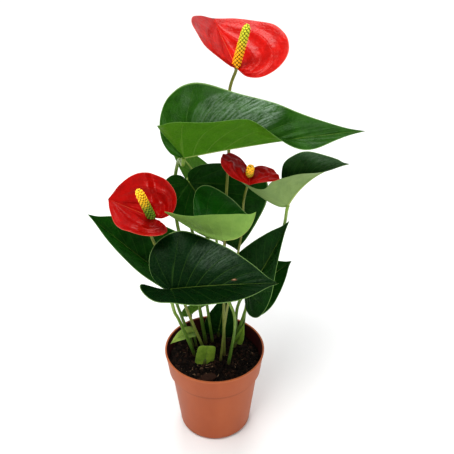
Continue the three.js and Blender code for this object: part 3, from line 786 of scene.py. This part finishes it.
def blade_place(spec, x, y, curl):
    """Where the point x ahead of the stalk and y across lies in space."""
    length, ahead, up, left = blade_frame(spec)
    height, waves, phase = spec["wave"]
    side = np.where(y > 0, 0, 1)

    def own(key, default=None):
        return np.array(spec.get(key, default), float)[side]

    along = x / length
    out = np.abs(y) / own("width")
    start, stop = spec.get("fold_at", (0, 1))
    at_tip = smooth((along - start) / (stop - start))
    rise = own("fold") * (1 - at_tip) + own("fold_tip") * at_tip
    angle = np.radians(rise + 0.5 * own("curl", (curl, curl)) * (out - 1))
    bow = np.where(along > 0, 4 * along * (1 - along), 4 * along)
    back = np.where(along < 0, own("lift", (0, 0)) * (x / own("lobe")) ** 2, 0)
    ripple = height * out ** 2 * np.sin(2 * math.pi * (waves * along + phase + 0.25 * side))
    lifted = spec.get("arch", 0) * bow + np.abs(y) * np.sin(angle) + ripple + back
    return (np.array(spec["base"], float) + ahead * x[:, None] + left * (y * np.cos(angle))[:, None]
            + up * lifted[:, None])


def blade_grid(spec, outline, rows, columns):
    """A blade laid flat, as faces and points. A point: how far ahead and across it lies, its
    vein's share of the outline, and its own share of the way out along that vein."""
    length = blade_frame(spec)[0]
    spots, faces = {}, []

    def spot(x, y, u, t):
        return spots.setdefault((round(x, 2), round(y, 2)), (len(spots), x, y, u, t))[0]

    for half, side in enumerate((1, -1)):
        width, lobe = spec["width"][half], spec["lobe"][half]
        slim, skew, notch = (spec.get(key, (0, 0))[half] for key in ("slim", "skew", "notch"))
        corners = [((x * lobe * max(y, 1e-9) ** notch if x < 0 else x * length) + skew * y * width,
                    y * width * (1 - slim * float(smooth(x))), 0) for x, y in outline]
        edge = through(corners, np.arange(rows + 1) / rows, 0)
        edge[0] = (outline[0][0] * min(spec["lobe"]), 0, 0)
        reach = [(c / columns) ** 1.3 for c in range(columns + 1)]
        lines = []
        for r, (ex, ey, _) in enumerate(edge):
            u = r / rows
            share = max(0.0, (u - FAN_SHARE) / (1 - FAN_SHARE))
            root = length * (0.35 * share + 0.65 * share ** 2)
            lines.append([spot(root + (ex - root) * t, side * max(0.0, ey) * t, u, t) for t in reach])
        for low, high in zip(lines, lines[1:]):
            for c in range(columns):
                face = list(dict.fromkeys([low[c], high[c], high[c + 1], low[c + 1]]))
                if len(face) > 2:
                    faces.append(face if side > 0 else face[::-1])
    return faces, np.array([point for _, *point in spots.values()])


def patches(spec, x, y):
    """The masks of a blade's dry spot and of its painted sheen, a pale patch painted where the waxy skin
    catches the light.
    """
    at_x, at_y, reach = spec.get("blemish", (0, 0, 0.01))
    dry = np.exp(-((x - at_x) ** 2 + 5 * (y - at_y) ** 2) / reach ** 2)
    at_x, at_y, long, wide, soft, strength = spec.get("sheen_patch", (0, 0, 0.01, 0.01, 1, 0))
    ahead = (x - at_x) / long
    edge = (1.15 - ahead ** 2 - ((y - at_y) / wide) ** 2) / (soft * (1 + 4 * smooth(0.5 + 0.5 * ahead)))
    return dry, strength * smooth(edge) * (0.62 + 0.45 * ahead)


def heart_blade(name, spec, outline, grid, curl, relief, finish):
    """A closed blade. relief gives the heights of its upper and under side and its veins."""
    length = blade_frame(spec)[0]
    faces, layout = blade_grid(spec, outline, *grid)
    x, y, u, t = layout.T
    middle = blade_place(spec, x, y, curl)
    normals = np.zeros_like(middle)
    for face in faces:
        a, b, c = (middle[face[k]] for k in (0, 1, -1))
        normals[face] += np.cross(b - a, c - a)
    normals /= np.maximum(np.linalg.norm(normals, axis=1), 1e-9)[:, None]
    above, below, marks = relief(x, y, u, t, length)
    thick = BLADE_THICK * (0.5 + 0.5 * smooth((1 - t) * 12))
    top = middle + normals * (above + thick / 2)[:, None]
    bottom = middle + normals * (below - thick / 2)[:, None]
    count = len(layout)
    margin = {}
    for face in faces:
        for p, q in zip(face, face[1:] + face[:1]):
            if margin.pop((q, p), None) is None:
                margin[(p, q)] = True
    sheet = [*faces, *[[p + count for p in face[::-1]] for face in faces],
             *[[q, p, p + count, q + count] for p, q in margin]]
    mesh = bpy.data.meshes.new(name)
    mesh.from_pydata(np.vstack([top, bottom]) * MM, [], sheet)
    mesh.update()
    dry, painted_sheen = patches(spec, x, y)
    for key, value in {"vein": marks, "out": t, "along": x / length, "blemish": dry, "sheen_patch": painted_sheen}.items():
        carry(mesh, key, "FLOAT", np.tile(value, 2))
    carry(mesh, "underside", "FLOAT", np.repeat([0.0, 1.0], count))
    carry(mesh, "layout", "FLOAT_VECTOR", np.tile(np.column_stack([x, y, 0 * x]), (2, 1)))
    for key in ("upper", "under"):
        carry(mesh, key, "FLOAT_COLOR", np.tile([*paint(spec[key]), 1.0], 2 * count))
    mesh.materials.append(finish)
    mesh.shade_smooth()
    mesh.set_sharp_from_angle(angle=math.radians(SHARP_BLADE))
    return mesh


def quilted(veins, deep, swell):
    """The relief of a leaf: side veins that leave the midrib forward, sunk above and raised
    below, the midrib's own groove and ridge, and a swell where the leaf has one."""
    def relief(x, y, u, t, length):
        fan = smooth(u / FAN_SHARE) * 3
        ladder = np.maximum(0, (u - FAN_SHARE) / (1 - FAN_SHARE)) * veins
        marks = fan + ladder - 0.45 * t * t * (0.4 + smooth(ladder))
        strength = smooth(t * 5) * smooth((1 - t) * 5) * smooth((1.02 - u) * 6)
        waves = -deep * np.cos(2 * math.pi * marks) * strength
        rib = np.exp(-(np.abs(y) / 1.5) ** 2) * smooth((1 - x / length) * 1.5) * (x > -1)
        if swell:
            start, stop, across, reach, height = swell
            from_ridge = (y - across) / reach
            bent = -2.33 * height * from_ridge * np.exp(-from_ridge ** 2) * (y > 0)
            waves = waves + bent * smooth((x - start) / 14) * smooth((stop - x) / 30)
        return waves - 0.35 * rib, waves - 0.95 * rib, marks
    return relief


def tube_tree(name, finish, sides=14):
    """A round stalk along the edges of a mesh, as thick as the value radius says."""
    tree, start = new_tree(name, Thickness=1.0)
    thick = add_node(tree, "GeometryNodeInputNamedAttribute", {"Name": "radius"}, data_type="FLOAT")
    line = add_node(tree, "GeometryNodeMeshToCurve", {0: start["Geometry"]})
    ring = add_node(tree, "GeometryNodeCurvePrimitiveCircle", {"Resolution": sides, "Radius": 1.0})
    rod = add_node(tree, "GeometryNodeCurveToMesh", {
        "Curve": line.outputs[0], "Profile Curve": ring.outputs[0], "Fill Caps": True,
        "Scale": times(tree, thick.outputs[0], start["Thickness"])})
    return finish_tree(tree, rod.outputs[0], finish)


def stalk(name, spec, drop, tree, stem=(0.9, 0.3)):
    """The stalk from the peat to a blade, thicker at its foot and just under the blade."""
    _, ahead, up, _ = blade_frame(spec)
    base = np.array(spec["base"], float)
    underneath, behind = spec.get("stem", stem)
    near = base - up * 8 * underneath - ahead * 8 * behind
    points = [(*spec["foot"], PEAT_LEVEL - ROOT_DEPTH), *spec.get("via", ()), near, base + up * drop]
    long = sum(np.linalg.norm(np.subtract(p, q)) for p, q in zip(points, points[1:]))
    shares = np.linspace(0, 1, 30 * len(points))
    from_end = (1 - shares) * long
    swell = 0.22 * np.exp(-((from_end - 9) / 5) ** 2)
    foot = 0.35 * np.exp(-np.maximum(0, shares * long - 6) / 14)
    close = 0.62 + 0.38 * smooth(from_end / 3)
    way = through(points, shares, 0.5)
    line = bpy.data.meshes.new(name)
    line.from_pydata(way * MM, [(k, k + 1) for k in range(len(way) - 1)], [])
    carry(line, "radius", "FLOAT", spec["radius"] * (0.94 + swell + foot) * close * MM)
    made = grow(name, tree, line)
    made.shade_smooth()
    made.set_sharp_from_angle(angle=math.radians(SHARP_STALK))
    return made


def fine_veins_group():
    """The net of small veins: thin lines between cells, drawn in the blade's own layout."""
    group, start, end = new_group("fine veins", {"Mesh Size": 0.3}, ["Lines"])
    at = carried(group, "layout", "Vector")
    wander = add_node(group, "ShaderNodeTexNoise", {"Vector": at, "Scale": 0.15, "Detail": 2.0})
    moved = add_node(group, "ShaderNodeMix", {0: 0.2, 4: at, 5: wander.outputs["Color"]}, data_type="VECTOR")
    cells = add_node(group, "ShaderNodeTexVoronoi", {"Vector": moved.outputs[1], "Scale": start[0]},
                     feature="DISTANCE_TO_EDGE")
    set_inputs(group, end, {0: remap(group, cells.outputs["Distance"], 0.0, 0.14, 1.0, 0.0)})
    return group


def vein_marks_group():
    """Masks of a blade's side veins, midrib and margin, and cloudy variation between them."""
    group, start, end = new_group("vein marks", {"Vein Width": 0.07, "Rib Width": 1.1, "Margin": 0.985},
                                  ["Vein", "Rib", "Margin", "Cloud", "Height"])
    out = carried(group, "out")
    along = carried(group, "along")
    at = carried(group, "layout", "Vector")
    width = times(group, start[0], remap(group, out, 1.0, 0.0, 0.35, 1.3))
    off_vein = calc(group, "DIVIDE", calc(group, "PINGPONG", carried(group, "vein"), 0.5), width)
    side = times(group, remap(group, off_vein, 1.0, 0.25),
                 times(group, remap(group, out, 0.97, 0.85), remap(group, out, 0.0, 0.03)))
    rib_width = times(group, start[1], remap(group, along, 1.0, 0.0, 0.25, 1.0))
    off_rib = calc(group, "DIVIDE", calc(group, "ABSOLUTE", xyz(group, at)[1]), rib_width)
    rib = times(group, remap(group, off_rib, 1.2, 0.5), remap(group, along, -0.03, 0.01))
    set_inputs(group, end, {0: side, 1: rib, 2: remap(group, out, start[2], 1.0),
                            3: noise(group, at, 0.07, 5.0, 0.6), 4: calc(group, "MAXIMUM", side, rib)})
    return group


fine_veins = fine_veins_group()
vein_marks = vein_marks_group()


def blade_marks(tree, vein_width, margin, mesh_size):
    """The masks of side veins, midrib, margin, cloud, relief and fine net on a blade."""
    marks = add_node(tree, "ShaderNodeGroup", {"Vein Width": vein_width, "Rib Width": 1.0, "Margin": margin},
                     node_tree=vein_marks)
    net = add_node(tree, "ShaderNodeGroup", {"Mesh Size": mesh_size}, node_tree=fine_veins)
    return (*marks.outputs, net.outputs[0])


def shaded(tree, colour, by):
    """A colour made deeper or paler by factors."""
    return mix_colours(tree, 1.0, colour, by, "MULTIPLY")


leaf_finish, tree, skin = new_finish("leaf_skin")
vein, rib, rim, cloud, high, net = blade_marks(tree, 0.06, 0.972, 0.45)
upper, under = carried(tree, "upper", "Color"), carried(tree, "under", "Color")
below = carried(tree, "underside")
at = carried(tree, "layout", "Vector")
cloudy = remap(tree, cloud, 0.3, 0.7)
top = mix_colours(tree, cloudy, shaded(tree, upper, (0.62, 0.68, 0.66)),
                  shaded(tree, upper, (1.25, 1.15, 1.05)))
top = layered(tree, top, (net, 0.06, (0.1, 0.17, 0.04)), (vein, 0.16, (0.12, 0.24, 0.04)),
              (rib, 0.6, (0.16, 0.24, 0.05)), (rim, 0.7, (0.3, 0.45, 0.16)))
ragged = times(tree, carried(tree, "blemish"), remap(tree, cloud, 0.2, 0.6, 0.5, 1.3))
top = mix_colours(tree, remap(tree, ragged, 0.3, 0.55, 0.0, 0.75), top, (0.2, 0.07, 0.035))
top = mix_colours(tree, remap(tree, ragged, 0.6, 0.8, 0.0, 0.8), top, (0.5, 0.33, 0.22))
veil = dust_on(tree, 26.0, 1500.0, 0.012)
top = mix_colours(tree, veil, top, (0.4, 0.43, 0.4))
# Painted sheen: a pale patch, streaked along the side veins like faint scratches, is painted where the waxy
# upper leaves catch the light.
drawn = add_node(tree, "ShaderNodeCombineXYZ", {0: times(tree, carried(tree, "vein"), 9.0),
                                                1: times(tree, carried(tree, "out"), 5.0)}).outputs[0]
patchy = plus(tree, times(tree, noise(tree, drawn, 1.0, 5.0, 0.6), 0.6),
              times(tree, noise(tree, at, 0.4, 7.0, 0.75), 0.4))
painted_sheen = times(tree, carried(tree, "sheen_patch"), remap(tree, patchy, 0.4, 0.6, 0.1, 1.2),
             remap(tree, vein, 0.0, 1.0, 1.0, 0.5))
top = mix_colours(tree, painted_sheen, top, (0.45, 0.56, 0.46))
low = mix_colours(tree, cloudy, under, shaded(tree, under, (1.25, 1.2, 1.2)))
low = layered(tree, low, (net, 0.1, (0.25, 0.38, 0.12)), (vein, 0.16, (0.3, 0.42, 0.12)),
              (rib, 0.8, (0.38, 0.46, 0.14)))
sunk = times(tree, plus(tree, high, times(tree, net, 0.3)), -1.0)
raised = plus(tree, high, times(tree, net, 0.4))
shaped = add_node(tree, "ShaderNodeMix", {0: below, 2: sunk, 3: raised}).outputs[0]
shaped = plus(tree, shaped, times(tree, noise(tree, at, 1.6, 4.0, 0.6), 0.5))
set_inputs(tree, skin, {
    "Base Color": mix_colours(tree, below, top, low),
    "Roughness": plus(tree, 0.19, times(tree, cloud, 0.18), times(tree, veil, 0.9), times(tree, below, 0.16)),
    "Normal": bumped(tree, shaped, 0.45, 0.5 * MM),
    "Specular IOR Level": 0.09, "Specular Tint": (0.75, 1, 0.7, 1),
})


def stalk_finish(name, low, high, streaks):
    """Smooth stalk skin: its colour at the foot, darker there as painted shade under the leaves, and at the
    top, fine lengthwise streaks.
    """
    made, tree, skin = new_finish(name)
    place = own_place(tree)
    z = xyz(tree, place)[2]
    drawn = add_node(tree, "ShaderNodeMapping", {"Vector": place, "Scale": (1, 1, 0.12)}).outputs[0]
    fine = noise(tree, drawn, 900.0, 4.0)
    cloud = noise(tree, place, 40.0, 3.0)
    # Painted shade: the stalk is painted darker toward its foot, where it stands under the leaves.
    tint = mix_colours(tree, remap(tree, z, 0.1, 0.24), low, high)
    tint = mix_colours(tree, remap(tree, cloud, 0.35, 0.65), tint, shaded(tree, tint, (0.72, 0.78, 0.6)))
    tint = layered(tree, tint, (remap(tree, fine, 0.5, 0.7), 0.35, streaks),
                   (remap(tree, z, (PEAT_LEVEL + 15) * MM, (PEAT_LEVEL + 2) * MM), 0.7, (0.1, 0.05, 0.025)))
    set_inputs(tree, skin, {
        "Base Color": tint, "Roughness": plus(tree, 0.36, times(tree, cloud, 0.15)),
        "Normal": bumped(tree, fine, 0.25, 0.4 * MM)})
    return made


leaf_tube = tube_tree("leaf stalk", stalk_finish(
    "leaf_stalk_skin", (0.09, 0.18, 0.025), (0.22, 0.34, 0.045), (0.36, 0.46, 0.1)))
for name, spec in LEAVES.items():
    relief = quilted(spec.get("veins", 8), spec.get("quilt", 0.17), spec.get("swell"))
    blade = heart_blade(name + "_blade", spec, spec.get("outline", LEAF_OUTLINE),
                        spec.get("grid", (96, 26)), CURL, relief, leaf_finish)
    whole = joined(name + "_grown", blade, stalk(name + "_stalk", spec, 0.1, leaf_tube))
    place_piece(name + "_grown", whole, name)

# ---- the flowers ------------------------------------------------------------------------------
# Each flower is a stalk, a waxy heart-shaped spathe with deep curved veins, and a spadix packed
# with tiny true flowers in spiral rows. The stalk ends under the spathe and the spadix above it.
SPATHE_OUTLINE = [
    (-0.1, 0), (-0.66, 0.1), (-0.98, 0.34), (-0.88, 0.66), (-0.4, 0.92), (0.14, 1),
    (0.42, 0.93), (0.68, 0.7), (0.86, 0.4), (0.95, 0.14), (1, 0),
]
SPATHE_SEAT = 6  # radius round the stalk that stays flat
SPATHE_RIDGE = 0.9
SPADIX_SET_IN = 0.66  # share of the radius at which the knobs stand on the rod
GOLDEN_ANGLE = math.radians(137.508)  # from each true flower to the next
FLOWERS_PER_MM = 2.6
# As for the leaves, and: curl: flattening of each half. crease: the half whose lobe bends back
# (1 left, -1 right), how far ahead that starts, and its depth. spadix, spadix_radius: its tip
# and its thickness. knob_low, knob_high: its colours.
FLOWERS = {
    "flower_top": dict(
        base=(24, 44, 457), tip=(0, 110, 485), face=(-0.1, -0.3, 0.95), width=(60, 60), lobe=(8, 28),
        fold=(56, 14), fold_tip=(50, 0), wave=(1, 2, 0), radius=1.8, foot=(11, 1),
        via=((12, 18, 246), (14, 28, 308), (17, 36, 366), (18, 46, 432)), spadix=(35, 28, 507),
        spadix_radius=4.9, sheen_patch=(10, 34, 50, 26, 1.0, 0.15), upper=(194, 18, 8), under=(184, 32, 20),
        knob_low=(232, 176, 20), knob_high=(186, 192, 40),
    ),
    "flower_left": dict(
        base=(-65, -12, 310), tip=(-114, 12, 318), face=(0, -0.8, 0.55), width=(42, 43), lobe=(27, 20),
        fold=(58, 14), fold_tip=(30, 10), wave=(1, 2, 0), radius=1.7, foot=(-8, 8),
        via=((-36, -12, 200), (-42, -14, 225), (-52, -14, 250), (-67, -12, 288)),
        spadix=(-75, -34, 357), spadix_radius=5.4, slim=(0.42, -0.15), crease=(-1, -7, 5),
        blemish=(-19, 13, 20), upper=(168, 5, 2), under=(152, 20, 12), knob_low=(98, 140, 22),
        knob_high=(240, 190, 24),
    ),
    "flower_right": dict(
        base=(38, -10, 360), tip=(38, -25, 357), face=(0, -0.1, 1), width=(31, 37), lobe=(13, 17),
        fold=(2, 38), fold_tip=(2, 14), wave=(1, 2, 0), radius=1.4, foot=(6, -7),
        via=((14, -6, 170), (25, 0, 240), (32, 6, 285), (33, 8, 318)), spadix=(39, -23, 378),
        spadix_radius=4, curl=(-50, -20), skew=(0.12, -0.05), upper=(160, 8, 6), under=(146, 20, 16),
        knob_low=(170, 150, 30), knob_high=(232, 176, 24),
    ),
}


def ridged(crease):
    """The relief of a spathe: veins that leave the stalk in a fan and run on beside the margin
    to the tip, fine puckers, a midrib, and a bent-back lobe where it has one."""
    def relief(x, y, u, t, length):
        on = smooth(u / FAN_SHARE)
        marks = 3 * (t * on + (1 - np.minimum(1, u / FAN_SHARE)) * (1 - on))
        clear = smooth((np.hypot(x, y) - SPATHE_SEAT) / SPATHE_SEAT)
        strength = smooth(4 * t * (1 - t)) * clear * smooth((0.9 - x / length) * 1.8)
        broad = SPATHE_RIDGE * np.cos(2 * math.pi * 3 * t) * strength
        if crease:
            half, start, depth = crease
            lobe = np.maximum(0, start - x + 0.74 * np.abs(y)) * (y * half > 0)
            broad = broad - depth * smooth(lobe / 7) * smooth((np.abs(y) - 3) / 8)
        rib = np.exp(-(np.abs(y) / 1.6) ** 2) * smooth((1 - x / length) * 2) * (x > 0) * clear
        broad = 1.1 * broad + 0.15 * np.cos(2 * math.pi * 2 * marks) * strength
        puckers = 0.2 * np.sin(x * 0.55 + 2 * np.sin(y * 0.2)) * np.cos(y * 0.5 + np.sin(x * 0.3)) * strength
        return broad + puckers - 0.5 * rib, broad + puckers - 0.9 * rib, marks
    return relief


spathe_finish, tree, skin = new_finish("spathe_skin")
vein, rib, rim, cloud, _, net = blade_marks(tree, 0.08, 0.975, 0.2)
below = carried(tree, "underside")
at = carried(tree, "layout", "Vector")
to_tip = remap(tree, carried(tree, "along"), 0.8, 0.4)
tint = mix_colours(tree, below, carried(tree, "upper", "Color"), carried(tree, "under", "Color"))
deep = shaded(tree, tint, (0.72, 0.6, 0.6))
tint = mix_colours(tree, remap(tree, cloud, 0.3, 0.68), deep, tint)
vein = times(tree, vein, to_tip)
tint = layered(tree, tint, (vein, 0.25, deep), (rib, 0.4, (0.75, 0.12, 0.05)),
               (rim, 0.45, (0.85, 0.2, 0.12)), (carried(tree, "blemish"), 0.8, (0.12, 0.004, 0.004)))
# Painted sheen: a pinkish patch is painted where the spathe's wax catches the light.
painted_sheen = times(tree, carried(tree, "sheen_patch"), remap(tree, cloud, 0.3, 0.7, 0.3, 1.0))
tint = mix_colours(tree, painted_sheen, tint, (0.75, 0.3, 0.25))
veil = dust_on(tree, 32.0, 1300.0, 0.012)
tint = mix_colours(tree, veil, tint, (0.85, 0.5, 0.42))
dry_tip = remap(tree, carried(tree, "along"), 0.965, 0.99)
tint = layered(tree, tint, (dry_tip, 0.8, (0.12, 0.03, 0.015)))
pleats = times(tree, calc(tree, "SINE", times(tree, carried(tree, "vein"), 2 * math.pi * 4)),
               remap(tree, cloud, 0.4, 0.7, 0.0, 0.5), to_tip)
sunk = times(tree, plus(tree, calc(tree, "MAXIMUM", vein, rib), times(tree, net, 0.35)), -1.0)
puckers = times(tree, noise(tree, at, 0.22, 2.0), 1.2)
set_inputs(tree, skin, {
    "Base Color": tint, "Roughness": plus(tree, 0.26, times(tree, cloud, 0.16), times(tree, veil, 0.9)),
    "Normal": bumped(tree, plus(tree, sunk, pleats, puckers), 0.38, 0.8 * MM),
    "Specular IOR Level": 0.22, "Specular Tint": (1, 0.5, 0.42, 1),
    "Coat Weight": 0.1, "Coat Roughness": 0.2,
})

spadix_finish, tree, skin = new_finish("spadix_skin")
knob = carried(tree, "knob")
mottle = noise(tree, own_place(tree), 260.0, 4.0)
wander = plus(tree, carried(tree, "along"), times(tree, calc(tree, "SUBTRACT", mottle, 0.5), 0.25))
tint = mix_colours(tree, remap(tree, wander, 0.3, 0.8), carried(tree, "upper", "Color"),
                   carried(tree, "under", "Color"))
# Painted highlight and shade: each knob's top is painted paler and the gaps between the knobs darker.
knob_highlight = mix_colours(tree, remap(tree, knob, 0.7, 0.98), tint, shaded(tree, tint, (1.5, 1.35, 1.6)))
gap_shade = shaded(tree, tint, (0.36, 0.36, 0.15))
set_inputs(tree, skin, {
    "Base Color": mix_colours(tree, remap(tree, knob, 0.35, 0.8), gap_shade, knob_highlight),
    "Roughness": plus(tree, 0.4, times(tree, mottle, 0.2)),
    "Normal": bumped(tree, mottle, 0.3, 0.4 * MM),
})


def spadix_tree(finish):
    """True flowers as knobs set in a spiral over a blunt rod that stands on the origin."""
    tree, start = new_tree("spadix", Count=360, Length=50.0, Radius=4.4, Knob=1.85)

    def girth(at):
        """The rod's radius at a share of its length."""
        nose = calc(tree, "SQRT", calc(tree, "SUBTRACT", 1.0, calc(tree, "POWER", at, 12.0)))
        root = calc(tree, "MINIMUM", 1.0, plus(tree, 0.6, times(tree, at, 6.0)))
        taper = calc(tree, "SUBTRACT", 1.0, times(tree, at, 0.1))
        return times(tree, nose, root, taper, start["Radius"], SPADIX_SET_IN * MM)

    def at_height(share, x, y):
        """A place at a share of the rod's length."""
        return add_node(tree, "ShaderNodeCombineXYZ", {
            0: x, 1: y, 2: times(tree, share, start["Length"], MM)}).outputs[0]

    index = add_node(tree, "GeometryNodeInputIndex").outputs[0]
    share = calc(tree, "DIVIDE", plus(tree, index, 0.5), start["Count"])
    around = times(tree, index, GOLDEN_ANGLE)
    cos, sin = calc(tree, "COSINE", around), calc(tree, "SINE", around)
    wide = girth(share)
    seat = at_height(share, times(tree, wide, cos), times(tree, wide, sin))
    points = add_node(tree, "GeometryNodePoints", {"Count": start["Count"], "Position": seat})
    way = add_node(tree, "ShaderNodeCombineXYZ", {0: cos, 1: sin, 2: remap(tree, share, 0.8, 1.0, 0.12, 1.6)})
    aim = add_node(tree, "FunctionNodeAlignRotationToVector", {"Vector": way.outputs[0]}, axis="Z")
    ball = add_node(tree, "GeometryNodeMeshUVSphere", {"Segments": 9, "Rings": 6, "Radius": 1.0})
    x, y, z = xyz(tree, add_node(tree, "GeometryNodeInputPosition").outputs[0])
    size = times(tree, start["Knob"], times(tree, remap(tree, share, 0.9, 1.0, 1.0, 0.72), MM))
    grown = add_node(tree, "GeometryNodeInstanceOnPoints", {
        "Points": stored(tree, points.outputs[0], "along", share),
        "Instance": stored(tree, ball.outputs[0], "knob", remap(tree, z, -0.2, 1.0)),
        "Rotation": aim.outputs[0], "Scale": size})
    core = add_node(tree, "GeometryNodeMeshCylinder", {
        "Vertices": 24, "Side Segments": 30, "Radius": 1.0, "Depth": 1.0})
    rise = plus(tree, z, 0.5)
    thin = girth(calc(tree, "MINIMUM", rise, 0.99))
    shaped = add_node(tree, "GeometryNodeSetPosition", {
        "Geometry": stored(tree, core.outputs[0], "along", rise),
        "Position": at_height(rise, times(tree, x, thin), times(tree, y, thin))})
    both = tree.nodes.new("GeometryNodeJoinGeometry")
    tree.links.new(grown.outputs[0], both.inputs[0])
    tree.links.new(shaped.outputs[0], both.inputs[0])
    return finish_tree(tree, both.outputs[0], finish)


flower_tube = tube_tree("flower stalk", stalk_finish(
    "flower_stalk_skin", (0.16, 0.2, 0.04), (0.27, 0.28, 0.05), (0.42, 0.4, 0.12)))
knobs = spadix_tree(spadix_finish)
for name, spec in FLOWERS.items():
    spathe = heart_blade(name + "_spathe_sheet", spec, SPATHE_OUTLINE, (120, 48), 0,
                         ridged(spec.get("crease")), spathe_finish)
    place_piece(name + "_spathe_sheet", spathe, name + "_spathe")

    rod = stalk(name + "_stem", spec, -0.6, flower_tube, stem=(0.6, 0))
    place_piece(name + "_stem", rod, name + "_stalk")

    up = blade_frame(spec)[2]
    foot = np.array(spec["base"], float) + up * 0.5
    axis = np.array(spec["spadix"], float) - foot
    length = np.linalg.norm(axis)
    made = grow(name + "_knobs", knobs, Length=length - 0.8, Radius=spec["spadix_radius"],
                Count=int(FLOWERS_PER_MM * length))
    turn = mathutils.Vector(axis).to_track_quat("Z", "Y").to_matrix().to_4x4()
    made.transform(mathutils.Matrix.Translation(mathutils.Vector(foot * MM)) @ turn)
    for key, source in (("upper", "knob_low"), ("under", "knob_high")):
        carry(made, key, "FLOAT_COLOR", np.tile([*paint(spec[source]), 1.0], len(made.vertices)))
    made.shade_smooth()
    place_piece(name + "_spadix_knobs", made, name + "_spadix")
